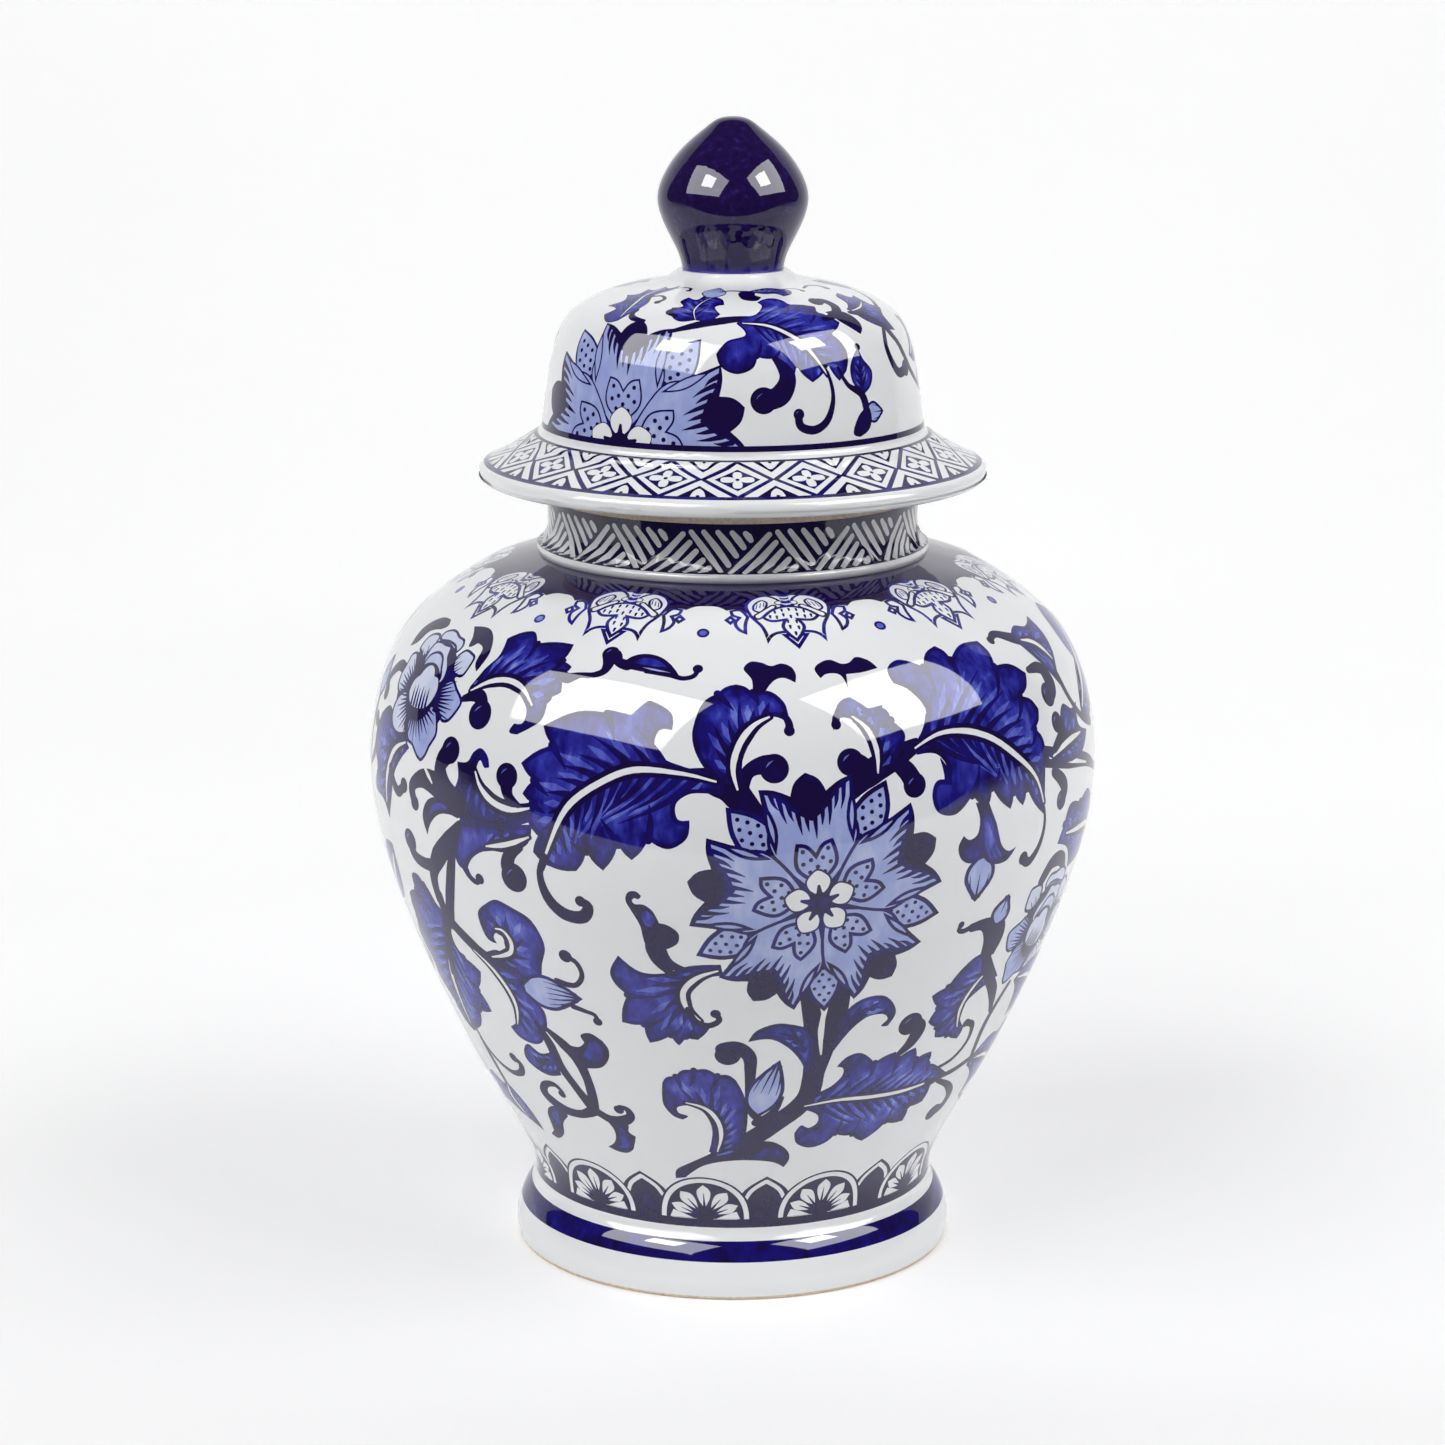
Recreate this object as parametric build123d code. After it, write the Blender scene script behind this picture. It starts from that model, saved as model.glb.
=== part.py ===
"""Lidded porcelain ginger jar of the baluster shape, in millimetres, +Z up.

The origin is on the axis, at the plane the foot stands on. Every piece is a ring or shell turned about Z.
The jar is three pieces of clay luted together with slip: foot ring, body and neck collar.
The lid is three more: shell, locating flange and hollow finial. The lid lifts straight off.
"""

import os

from build123d import *

# Driving dimensions
TOTAL_HEIGHT = 356.0
BELLY_RADIUS = 114.0
BELLY_HEIGHT = 160.0
WAIST_RADIUS = 63.4
WAIST_HEIGHT = 21.5
FOOT_RADIUS = 69.8
SHOULDER_RADIUS = 61.0
SHOULDER_HEIGHT = 222.6
NECK_RADIUS = 57.6
NECK_BORE_RADIUS = 51.5
SEAT_HEIGHT = 247.0
BRIM_RADIUS = 79.0
DOME_RADIUS = 58.9
DOME_TOP_HEIGHT = 309.6
KNOB_RADIUS = 23.2
KNOB_BASE_RADIUS = 15.6
WALL = 6.0
LID_WALL = 5.0
KNOB_WALL = 4.5

# Foot and base of the jar
FOOT_BORE_RADIUS = 56.0
BASE_PLUG_RADIUS = 59.0
BASE_RECESS = 7.0
FLOOR_HEIGHT = 16.0
FLOOR_RADIUS = 40.0
FOOT_EDGE_ROUND = 1.2

# Neck collar
BEAD_RADIUS = 61.6
BEAD_THICKNESS = 3.2
NECK_TOP_RADIUS = 58.2
NECK_EDGE_ROUND = 1.2

# Lid
BRIM_EDGE_THICKNESS = 5.4
BRIM_EDGE_HEIGHT = 247.9
BRIM_INNER_RADIUS = 63.4
BRIM_INNER_HEIGHT = 257.4
DOME_FOOT_HEIGHT = 259.6
LID_LEDGE_RADIUS = 45.5
FLANGE_RADIUS = 49.8
FLANGE_DEPTH = 14.0
FLANGE_THICKNESS = 4.3
VENT_RADIUS = 8.0


def profile(*lines):
    """A closed face in the (radius, height) half-plane, from edges that meet end to end."""
    return make_face(Plane.XZ * Curve(list(lines)))


def turned(face):
    return revolve(face, axis=Axis.Z, revolution_arc=360)


def inside(curve, thickness, shares):
    """Points one wall thickness to the axis side of an outline that runs upwards."""
    points = []
    for share in shares:
        point = curve @ share
        along = curve % share
        points.append((point.X - thickness * along.Y, point.Y + thickness * along.X))
    return points


def body_outline():
    """Outer skin of the body, from the waist above the foot to the joint under the neck."""
    return Spline(
        (WAIST_RADIUS, WAIST_HEIGHT),
        (67.2, 35.0),
        (80.0, 58.2),
        (97.2, 94.2),
        (109.6, 128.5),
        (BELLY_RADIUS, BELLY_HEIGHT),
        (109.8, 184.4),
        (99.0, 202.6),
        (80.6, 216.1),
        (SHOULDER_RADIUS, SHOULDER_HEIGHT),
        tangents=[(0.02, 1.0), (-1.0, 0.26)],
    )


def jar_body():
    """Shoulder, belly and floor. A plug under the floor sits inside the foot ring."""
    outer = body_outline()
    wall = inside(outer, WALL, (0.08, 0.22, 0.36, 0.5, 0.64, 0.76, 0.86, 0.94))
    rim_under = (NECK_BORE_RADIUS, SHOULDER_HEIGHT - WALL * 0.8)
    inner = Spline((FLOOR_RADIUS, FLOOR_HEIGHT), *wall, rim_under, tangents=[(1.0, 0.0), (-1.0, 0.1)])
    edges = Polyline(
        rim_under,
        (NECK_BORE_RADIUS, SHOULDER_HEIGHT),
        (SHOULDER_RADIUS, SHOULDER_HEIGHT),
    )
    base = Polyline(
        (FLOOR_RADIUS, FLOOR_HEIGHT),
        (0.0, FLOOR_HEIGHT),
        (0.0, BASE_RECESS),
        (BASE_PLUG_RADIUS, BASE_RECESS),
        (BASE_PLUG_RADIUS, WAIST_HEIGHT),
        (WAIST_RADIUS, WAIST_HEIGHT),
    )
    return turned(profile(outer, inner, edges, base))


def foot_ring():
    """Flared plinth the jar stands on, with a narrow flat foot face and a ledge under the floor."""
    flare_foot = (FOOT_RADIUS - 0.6, FOOT_EDGE_ROUND)
    flare = Spline(
        flare_foot,
        (FOOT_RADIUS, 4.5),
        (68.6, 10.5),
        (65.4, 17.0),
        (WAIST_RADIUS, WAIST_HEIGHT),
        tangents=[(0.25, 1.0), (-0.1, 1.0)],
    )
    rest_edge = (FOOT_RADIUS - 0.6 - FOOT_EDGE_ROUND, 0.0)
    corner = Spline(flare_foot, rest_edge, tangents=[(-0.25, -1.0), (-1.0, 0.0)])
    ring = Polyline(
        rest_edge,
        (FOOT_BORE_RADIUS + 1.5, 0.0),
        (FOOT_BORE_RADIUS, 1.5),
        (FOOT_BORE_RADIUS, BASE_RECESS),
        (BASE_PLUG_RADIUS, BASE_RECESS),
        (BASE_PLUG_RADIUS, WAIST_HEIGHT),
        (WAIST_RADIUS, WAIST_HEIGHT),
    )
    return turned(profile(flare, corner, ring))


def neck_collar():
    """Upright neck with a bead where it meets the shoulder and a flat rim that carries the lid."""
    bead_top = SHOULDER_HEIGHT + BEAD_THICKNESS
    bead = ThreePointArc(
        (SHOULDER_RADIUS, SHOULDER_HEIGHT),
        (BEAD_RADIUS, SHOULDER_HEIGHT + BEAD_THICKNESS * 0.45),
        (NECK_RADIUS + 1.4, bead_top),
    )
    rim_low = (NECK_TOP_RADIUS, SEAT_HEIGHT - NECK_EDGE_ROUND)
    side = Spline(
        (NECK_RADIUS + 1.4, bead_top),
        (NECK_RADIUS + 0.3, bead_top + 2.6),
        (NECK_RADIUS, bead_top + 9.0),
        rim_low,
        tangents=[(-0.8, 1.0), (0.05, 1.0)],
    )
    rim_top = (NECK_TOP_RADIUS - NECK_EDGE_ROUND, SEAT_HEIGHT)
    round_over = RadiusArc(rim_low, rim_top, -NECK_EDGE_ROUND)
    bore = Polyline(
        rim_top,
        (NECK_BORE_RADIUS, SEAT_HEIGHT),
        (NECK_BORE_RADIUS, SHOULDER_HEIGHT),
        (SHOULDER_RADIUS, SHOULDER_HEIGHT),
    )
    return turned(profile(bead, side, round_over, bore))


def dome_outline():
    """Outer skin of the dome, from its foot on the brim up to the small flat land that carries the finial."""
    return Spline(
        (DOME_RADIUS + 0.5, DOME_FOOT_HEIGHT + 1.6),
        (57.9, 272.0),
        (55.6, 285.4),
        (50.2, 296.3),
        (40.5, 302.2),
        (27.0, 305.8),
        (KNOB_BASE_RADIUS + 1.4, DOME_TOP_HEIGHT),
        tangents=[(-0.08, 1.0), (-0.7, 1.0)],
    )


def lid_shell():
    """Dome and brim in one shell. Its flat underside rests on the neck's rim."""
    dome = dome_outline()
    dome_foot = (DOME_RADIUS + 0.5, DOME_FOOT_HEIGHT + 1.6)
    bead_foot = (BRIM_INNER_RADIUS, BRIM_INNER_HEIGHT)
    bead = Spline(
        dome_foot,
        (DOME_RADIUS + 1.5, DOME_FOOT_HEIGHT),
        (DOME_RADIUS + 3.4, DOME_FOOT_HEIGHT - 0.7),
        bead_foot,
        tangents=[(0.08, -1.0), (0.4, -1.0)],
    )
    edge_round = BRIM_EDGE_THICKNESS / 2
    edge_top = (BRIM_RADIUS - edge_round + 0.5, BRIM_EDGE_HEIGHT + edge_round)
    edge_low = (BRIM_RADIUS - edge_round - 1.0, BRIM_EDGE_HEIGHT - edge_round)
    brim_top = Spline(
        bead_foot,
        (71.0, 253.6),
        edge_top,
        tangents=[(1.0, -0.5), (1.0, -0.42)],
    )
    edge = ThreePointArc(edge_top, (BRIM_RADIUS, BRIM_EDGE_HEIGHT - 0.6), edge_low)
    underside = Spline(
        edge_low,
        (70.5, SEAT_HEIGHT - 0.9),
        (SHOULDER_RADIUS, SEAT_HEIGHT),
        tangents=[(-1.0, 0.1), (-1.0, 0.0)],
    )
    wall = inside(dome, LID_WALL, (0.08, 0.25, 0.4, 0.55, 0.7, 0.82))
    inner_top = (VENT_RADIUS, DOME_TOP_HEIGHT - LID_WALL)
    inner_foot = (DOME_RADIUS - LID_WALL + 0.6, DOME_FOOT_HEIGHT)
    cavity = Spline(inner_foot, *wall, inner_top, tangents=[(-0.05, 1.0), (-1.0, 0.06)])
    ledge = Polyline(
        (SHOULDER_RADIUS, SEAT_HEIGHT),
        (LID_LEDGE_RADIUS, SEAT_HEIGHT),
        (LID_LEDGE_RADIUS, SEAT_HEIGHT + LID_WALL * 0.8),
        inner_foot,
    )
    vent = Polyline(
        inner_top,
        (VENT_RADIUS, DOME_TOP_HEIGHT),
        (KNOB_BASE_RADIUS + 1.4, DOME_TOP_HEIGHT),
    )
    return turned(profile(dome, bead, brim_top, edge, underside, ledge, cavity, vent))


def lid_locating_flange():
    """Short sleeve under the lid that drops into the neck and keeps the lid from sliding off."""
    low = SEAT_HEIGHT - FLANGE_DEPTH
    inner = FLANGE_RADIUS - FLANGE_THICKNESS
    sleeve = Polyline(
        (inner, SEAT_HEIGHT),
        (FLANGE_RADIUS, SEAT_HEIGHT),
        (FLANGE_RADIUS, low + 1.5),
        (FLANGE_RADIUS - 1.5, low),
        (inner + 1.0, low),
        (inner, low + 1.0),
        (inner, SEAT_HEIGHT),
    )
    return turned(profile(sleeve))


def lid_finial():
    """Hollow bud-shaped knob. Its foot is luted round the hole in the top of the dome."""
    foot = (KNOB_BASE_RADIUS, DOME_TOP_HEIGHT)
    skin = Spline(
        foot,
        (18.6, 318.2),
        (22.2, 326.0),
        (KNOB_RADIUS, 331.6),
        (20.6, 339.6),
        (14.6, 347.4),
        (7.4, 353.4),
        (0.0, TOTAL_HEIGHT),
        tangents=[(0.1, 1.0), (-1.0, 0.0)],
    )
    wall = inside(skin, KNOB_WALL, (0.2, 0.36, 0.5, 0.66))
    hollow_foot = (VENT_RADIUS, DOME_TOP_HEIGHT)
    hollow = Spline(
        hollow_foot,
        *wall,
        (0.0, TOTAL_HEIGHT - KNOB_WALL * 1.5),
        tangents=[(0.4, 1.0), (-1.0, 0.0)],
    )
    foot_face = Line(hollow_foot, foot)
    tip = Line((0.0, TOTAL_HEIGHT - KNOB_WALL * 1.5), (0.0, TOTAL_HEIGHT))
    return turned(profile(skin, hollow, foot_face, tip))


PIECES = {
    "jar_body": jar_body,
    "foot_ring": foot_ring,
    "neck_collar": neck_collar,
    "lid_shell": lid_shell,
    "lid_locating_flange": lid_locating_flange,
    "lid_finial": lid_finial,
}

os.makedirs("parts", exist_ok=True)
for name, make in PIECES.items():
    export_step(make(), f"parts/{name}.step")
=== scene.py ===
"""Blue-and-white porcelain ginger jar: painting, glaze, camera and lights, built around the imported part.

Blender works in metres, +Z up. Every painted surface is unrolled onto a chart. Its x is the angle round
the axis from the front (-Y) and its y runs up the skin, both in degrees of turn, so shapes keep their
look when they are wrapped back. The painting is a stack of outlines on that chart. Their edges become
edges of the mesh, so each mark is geometry.
"""

import math

import bpy
import numpy as np
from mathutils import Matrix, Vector
from mathutils.geometry import delaunay_2d_cdt


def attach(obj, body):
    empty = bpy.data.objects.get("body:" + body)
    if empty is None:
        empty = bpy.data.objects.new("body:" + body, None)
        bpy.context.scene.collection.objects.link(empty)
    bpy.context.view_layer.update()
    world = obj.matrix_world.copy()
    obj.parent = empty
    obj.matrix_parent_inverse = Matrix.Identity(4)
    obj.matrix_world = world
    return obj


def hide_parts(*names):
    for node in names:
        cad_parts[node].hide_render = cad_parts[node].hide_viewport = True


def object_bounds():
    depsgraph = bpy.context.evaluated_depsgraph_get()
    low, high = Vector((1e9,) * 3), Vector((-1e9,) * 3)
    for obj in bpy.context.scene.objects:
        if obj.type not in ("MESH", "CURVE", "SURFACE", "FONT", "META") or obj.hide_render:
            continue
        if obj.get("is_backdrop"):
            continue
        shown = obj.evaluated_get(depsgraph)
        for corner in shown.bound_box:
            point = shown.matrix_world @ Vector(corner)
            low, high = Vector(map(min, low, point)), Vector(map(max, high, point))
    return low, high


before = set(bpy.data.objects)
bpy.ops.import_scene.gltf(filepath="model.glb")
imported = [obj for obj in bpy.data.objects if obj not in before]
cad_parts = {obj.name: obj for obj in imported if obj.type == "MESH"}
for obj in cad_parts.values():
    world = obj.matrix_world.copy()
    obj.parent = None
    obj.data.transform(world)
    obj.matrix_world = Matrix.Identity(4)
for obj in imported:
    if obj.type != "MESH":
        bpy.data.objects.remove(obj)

cad_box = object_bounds()

# How much cobalt a brush mark holds, from bare white glaze to the darkest line
WHITE, PALE, SOFT, WASH, DEEP, INK, DARK = 0.0, 0.2, 0.45, 0.68, 0.85, 0.93, 1.0

# Lengths in degrees on a chart
FULL_TURN = 360.0
HALF_TURN = FULL_TURN / 2
CURVE_STEP = 0.5     # between samples of a smooth line
FLATNESS = 0.025     # how far a dropped sample may lie off the line
LINE = 0.75          # width of a contour
BROAD = 1.6          # strokes wider than this hold the darkest cobalt
SEAM_CLEAR = 0.002   # how far marks keep from lying on a side edge of the chart
SAME = 1e-4          # closer than this, two points are one
POOL_REACH = 1.2     # how fast pooled cobalt fades inwards

# Lengths in metres
GRID = 0.0042        # mesh size on bare glaze
STATION = 0.0004     # between samples of a profile
SEAM_GAP = 1e-6      # closer than this, two corners are one

# The grid on bare glaze, as shares of the spacing in a row
ROW_RISE = 0.87      # from one row to the next
ROW_CLEAR = 0.3      # between a row and the edge of a band
POINT_CLEAR = 0.5    # between a grid point and an outline

TINY = 1e-9          # stands in for a length of zero in a division

# How plain rings are meshed, and the cosine of the sharpest bend that is shaded smooth
PLAIN_SEGMENTS = 144
SHARP = math.cos(math.radians(28))


# ---------------------------------------------------------------- curves

def bend(points, step=CURVE_STEP, closed=False):
    """A smooth line through a few points (chord-spaced Catmull-Rom). Two points give a straight line."""
    p = np.array(points, float)
    if len(p) < 3:
        return p
    if closed:
        p = np.vstack([p[-2:], p, p[:3]])
    gap = np.maximum(np.hypot(*np.diff(p, axis=0).T), TINY)
    t = np.r_[0, np.cumsum(np.sqrt(gap))]
    h = np.diff(t)[:, None]
    secant = np.diff(p, axis=0) / h
    slope = np.empty_like(p)
    slope[1:-1] = (secant[1:] * h[:-1] + secant[:-1] * h[1:]) / (h[:-1] + h[1:])
    slope[0] = 1.5 * secant[0] - 0.5 * slope[1]
    slope[-1] = 1.5 * secant[-1] - 0.5 * slope[-2]
    pieces = range(2, len(p) - 3) if closed else range(len(p) - 1)
    line = []
    for i in pieces:
        count = max(2, int(math.ceil(gap[i] / step)))
        s = np.linspace(0, 1, count, endpoint=False)[:, None]
        line.append(
            (1 + 2 * s) * (1 - s) ** 2 * p[i] + s * (1 - s) ** 2 * h[i] * slope[i]
            + s * s * (3 - 2 * s) * p[i + 1] + s * s * (s - 1) * h[i] * slope[i + 1]
        )
    if not closed:
        line.append(p[-1:])
    return np.vstack(line)


def outline(*stretches):
    """A closed outline of smooth stretches that meet at corners. Each starts where the last one ended."""
    start = stretches[0][0]
    pieces = []
    for i, stretch in enumerate(stretches):
        run = list(stretch) if i == 0 else [stretches[i - 1][-1]] + list(stretch)
        pieces.append(bend(run)[:-1])
    last = stretches[-1][-1]
    if math.dist(last, start) > 1e-6:
        pieces.append(np.array([last], float))
    return np.vstack(pieces)


def area(line):
    """Signed area of an outline, above zero when it runs anticlockwise."""
    x, y = line.T
    return 0.5 * float(np.sum(x * np.roll(y, -1) - np.roll(x, -1) * y))


def facing_in(line):
    """The same outline, running anticlockwise."""
    return line if area(line) > 0 else line[::-1]


def inset(line, distance):
    """An anticlockwise outline moved inwards by distance. Tips keep a sharp corner."""
    line = facing_in(line)
    ahead = np.roll(line, -1, axis=0) - line
    ahead /= np.maximum(np.hypot(*ahead.T), TINY)[:, None]
    normal = np.c_[-ahead[:, 1], ahead[:, 0]]
    both = normal + np.roll(normal, 1, axis=0)
    both /= np.maximum(np.hypot(*both.T), 1e-6)[:, None]
    mitre = np.clip(np.sum(both * normal, axis=1), 0.3, 1)
    return line + both * (distance / mitre)[:, None]


def thinned(line):
    """Drops samples that lie on the straight line between their neighbours, to within FLATNESS."""
    keep = [0]
    for i in range(2, len(line)):
        a, b = line[keep[-1]], line[i]
        span = b - a
        size = max(math.hypot(*span), TINY)
        off = np.abs(np.cross(span, line[keep[-1] + 1:i] - a)) / size
        if off.max() > FLATNESS:
            keep.append(i - 1)
    keep.append(len(line) - 1)
    return line[keep]


def placed(points, at, turn=0.0, size=1.0, flip=False):
    """Motif coordinates moved onto the chart. An upright motif has turn 0, and turns anticlockwise."""
    p = np.array(points, float)
    if flip:
        p = p * (-1, 1)
    c, s = math.cos(math.radians(turn)), math.sin(math.radians(turn))
    return p @ np.array([[c, s], [-s, c]]) * size + np.array(at, float)


# ---------------------------------------------------------------- painting

class Art:
    """The marks on one surface, in painting order. `shift` and `lift` move what is drawn in x and y."""

    def __init__(self):
        self.marks = []
        self.levels = []
        self.shift = 0.0
        self.lift = 0.0

    def fill(self, line, cobalt, pooled=0.0):
        """One mark with its amount of cobalt. `pooled` is how much more of it gathers at the edge."""
        line = facing_in(thinned(np.vstack([line, line[:1]]))[:-1])
        self.marks.append((line + (self.shift, self.lift), cobalt, pooled))

    def patch(self, *stretches, cobalt=DARK, pooled=0.0):
        """A mark inside an outline() of these stretches."""
        self.fill(outline(*stretches), cobalt, pooled)

    def band(self, low, high, cobalt):
        """A ring right round the surface."""
        ring = (low + self.lift, high + self.lift)
        self.levels.append(ring)
        self.marks.append((ring, cobalt, 0.0))

    def shape(self, line, cobalt, width=LINE, pooled=0.0, contour=INK):
        """A filled mark inside a dark contour."""
        self.fill(line, contour)
        self.fill(inset(line, width), cobalt, pooled)

    def disc(self, at, radius, cobalt=DARK):
        """A dot."""
        angle = np.linspace(0, 2 * math.pi, max(8, int(10 + radius * 8)), endpoint=False)
        self.fill(np.c_[np.cos(angle), np.sin(angle)] * radius + np.array(at, float), cobalt)

    def brush(self, points, widths, cobalt=None):
        """A round-ended stroke through points. Its width runs through `widths` from start to end.
        A fine stroke carries a little less cobalt than a broad one."""
        if cobalt is None:
            cobalt = DARK if max(widths) > BROAD else INK
        line = bend(points)
        if len(line) == 2:
            line = np.array([line[0] + (line[1] - line[0]) * share for share in np.linspace(0, 1, 5)])
        along = np.r_[0, np.cumsum(np.hypot(*np.diff(line, axis=0).T))]
        share = along / max(along[-1], TINY)
        half = np.interp(share, np.linspace(0, 1, len(widths)), widths)[:, None] / 2
        ahead = np.gradient(line, axis=0)
        ahead /= np.maximum(np.hypot(*ahead.T), TINY)[:, None]
        side = np.c_[-ahead[:, 1], ahead[:, 0]]
        tip = np.radians(np.linspace(60, -60, 5))[:, None]
        end = line[-1] + half[-1] * (np.cos(tip) * ahead[-1] + np.sin(tip) * side[-1])
        start = line[0] - half[0] * (np.cos(tip) * ahead[0] + np.sin(tip) * side[0])
        edges = [line + side * half, line[::-1] - side[::-1] * half[::-1]]
        if half[-1] > 0.15:
            edges.insert(1, end)
        if half[0] > 0.15:
            edges.append(start)
        self.fill(np.vstack(edges), cobalt)

    def curl(self, points, widths, ball, cobalt=DARK):
        """A stroke ending in a round bead centred on the last point; a big bead gets a painted highlight at
        its upper left.
        """
        self.brush(points, widths, cobalt)
        self.disc(points[-1], ball, cobalt)
        # painted highlight: a pale arc on the upper left of a big bead
        painted_glint = np.array(points[-1], float) + (-0.35 * ball, 0.35 * ball)
        if ball > 1.4:
            self.brush([painted_glint + (-0.2 * ball, -0.25 * ball), painted_glint, painted_glint + (0.3 * ball, 0.2 * ball)],
                       (0.05, 0.3, 0.05), SOFT)

    def leaf(self, edge, rib, veins=9, reach=0.62, rib_width=0.95, cobalt=WASH):
        """A leaf: contour, blue wash, dark veins combed out from the rib, a white rib in a dark one."""
        body = facing_in(outline(*edge))
        self.shape(body, cobalt, LINE, pooled=0.15)
        line = bend(rib)
        along = np.gradient(line, axis=0)
        along /= np.hypot(*along.T)[:, None]
        slant = math.radians(52)
        for k, share in enumerate(np.linspace(0.05, 0.93, 2 * veins)):
            i = int(share * (len(line) - 1))
            for side in (1, -1):
                c, s = math.cos(slant), side * math.sin(slant)
                way = np.array([along[i, 0] * c - along[i, 1] * s, along[i, 0] * s + along[i, 1] * c])
                length = ray(line[i] + way * 0.6, way, body) * reach * (1 if k % 4 < 2 else 0.75)
                if length < 1.3:
                    continue
                hook = way * length + along[i] * length * 0.18
                if k % 2:
                    self.brush([line[i], line[i] + way * length * 0.5, line[i] + hook],
                               (1.5, 0.85, 0.1))
                else:
                    fine = [line[i] + hook * 0.35, line[i] + hook * 1.1]
                    self.brush(fine, (0.2, 1.2, 0.2), cobalt - 0.17)
        for corner in notches(edge, body):
            inward = (nearest(line, corner) - corner) * 0.5
            if math.hypot(*inward) > 1.2:
                self.brush([corner, corner + inward * 0.5 + (0.3, -0.3), corner + inward],
                           (1.3, 0.9, 0.2))
        self.brush(rib, (rib_width * 1.2, rib_width * 2.7, rib_width * 2.8, rib_width * 1.3))
        if rib_width > LINE * 0.6:
            self.brush(rib, (rib_width * 0.3, rib_width, rib_width, rib_width * 0.3), WHITE)

    def bud(self, base, tip, width, strokes=4):
        """A closed flower: a pale drop with a pointed tip and dark strokes that run down from the tip."""
        base, tip = np.array(base, float), np.array(tip, float)
        axis = tip - base
        across = np.array([-axis[1], axis[0]]) / math.hypot(*axis) * width / 2
        half = [(0.0, 0.25), (0.25, 0.92), (0.5, 1.0), (0.78, 0.55), (1.0, 0.0)]
        left = [base + axis * a + across * w for a, w in half]
        right = [base + axis * a - across * w for a, w in reversed(half)]
        line = outline(left, right[1:])
        self.shape(line, PALE)
        for side in np.linspace(-0.62, 0.62, strokes):
            top = base + axis * 0.9 + across * side * 0.35
            low = base + axis * 0.42 + across * side * 1.05
            self.brush([top, (top + low) / 2 + across * side * 0.15, low], (0.5, 0.35, 0.1))


def inside(points, line):
    """Which points lie inside an anticlockwise outline (winding number above zero)."""
    wound = np.zeros(len(points), int)
    a, b = line, np.roll(line, -1, axis=0)
    step = max(1, int(4e6 / max(len(points), 1)))
    x, y = points[:, :1], points[:, 1:]
    for i in range(0, len(a), step):
        ax, ay, bx, by = a[i:i + step, 0], a[i:i + step, 1], b[i:i + step, 0], b[i:i + step, 1]
        left = (bx - ax) * (y - ay) - (x - ax) * (by - ay)
        wound += ((ay <= y) & (by > y) & (left > 0)).sum(1)
        wound -= ((ay > y) & (by <= y) & (left < 0)).sum(1)
    return wound > 0


def edge_distance(points, line):
    """How far each point is from an outline."""
    a, b = line, np.roll(line, -1, axis=0)
    run = b - a
    size = np.maximum((run ** 2).sum(1), 1e-12)
    share = np.clip(((points[:, None] - a) * run).sum(2) / size, 0, 1)
    return np.sqrt((((points[:, None] - a) - share[..., None] * run) ** 2).sum(2).min(1))


def nearest(line, point):
    """The sample of a line that is nearest to a point."""
    return line[np.argmin(((line - point) ** 2).sum(1))]


def ray(start, way, line):
    """How far start is from an outline, looking along way. 0 if start is outside."""
    if not inside(np.array([start]), line)[0]:
        return 0.0
    a, b = line - start, np.roll(line, -1, axis=0) - start
    run = b - a
    cross = run[:, 0] * way[1] - run[:, 1] * way[0]
    cross[np.abs(cross) < TINY] = TINY
    share = (way[0] * a[:, 1] - way[1] * a[:, 0]) / cross
    reach = (run[:, 0] * a[:, 1] - run[:, 1] * a[:, 0]) / cross
    hits = reach[(share >= 0) & (share <= 1) & (reach > 0)]
    return float(hits.min()) if len(hits) else 0.0


def notches(edge, body):
    """The corners of an outline that point into it."""
    found = []
    for stretch in edge:
        corner = np.array(stretch[-1], float)
        i = int(np.argmin(((body - corner) ** 2).sum(1)))
        before, after = body[i] - body[i - 2], body[(i + 2) % len(body)] - body[i]
        if before[0] * after[1] - before[1] * after[0] < 0:
            found.append(corner)
    return found


# ---------------------------------------------------------------- turned surfaces

def seam(node, facing, least=0.05):
    """Corners, as (radius, height), of a turned CAD node in its +X half-plane.
    Only those on surfaces that face one way count, which `facing` gives as (outwards, upwards)."""
    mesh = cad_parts[node].data
    found = set()
    for v in mesh.vertices:
        towards = v.normal.x * facing[0] + v.normal.z * facing[1]
        if abs(v.co.y) < SEAM_GAP and v.co.x > 0 and towards > least:
            found.add((round(v.co.x, 7), round(v.co.z, 7)))
    return sorted(found)


def skin(node, start, narrowest):
    """The outer side of a turned node outside a radius, walked upwards from the corner nearest to start."""
    waiting = [p for p in seam(node, (1, 0.5)) if p[1] > start[1] - SEAM_GAP and p[0] > narrowest]
    here = min(waiting, key=lambda p: math.dist(p, start))
    walk = []
    while waiting:
        here = min(waiting, key=lambda p: math.dist(p, here))
        walk.append(here)
        waiting.remove(here)
    return walk


def bore(node, low, widest):
    """The side of a turned node that faces the axis, from the top down to a height, within a radius."""
    points = [p for p in seam(node, (-1, 0)) if p[1] > low - SEAM_GAP and p[0] < widest]
    return sorted(points, key=lambda p: (-p[1], -p[0]))


def underside(node, high, narrowest):
    """The side of a turned node that looks down, below a height and outside a radius, from within."""
    return [p for p in seam(node, (0, -1), 0.3) if p[1] < high and p[0] > narrowest]


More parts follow.
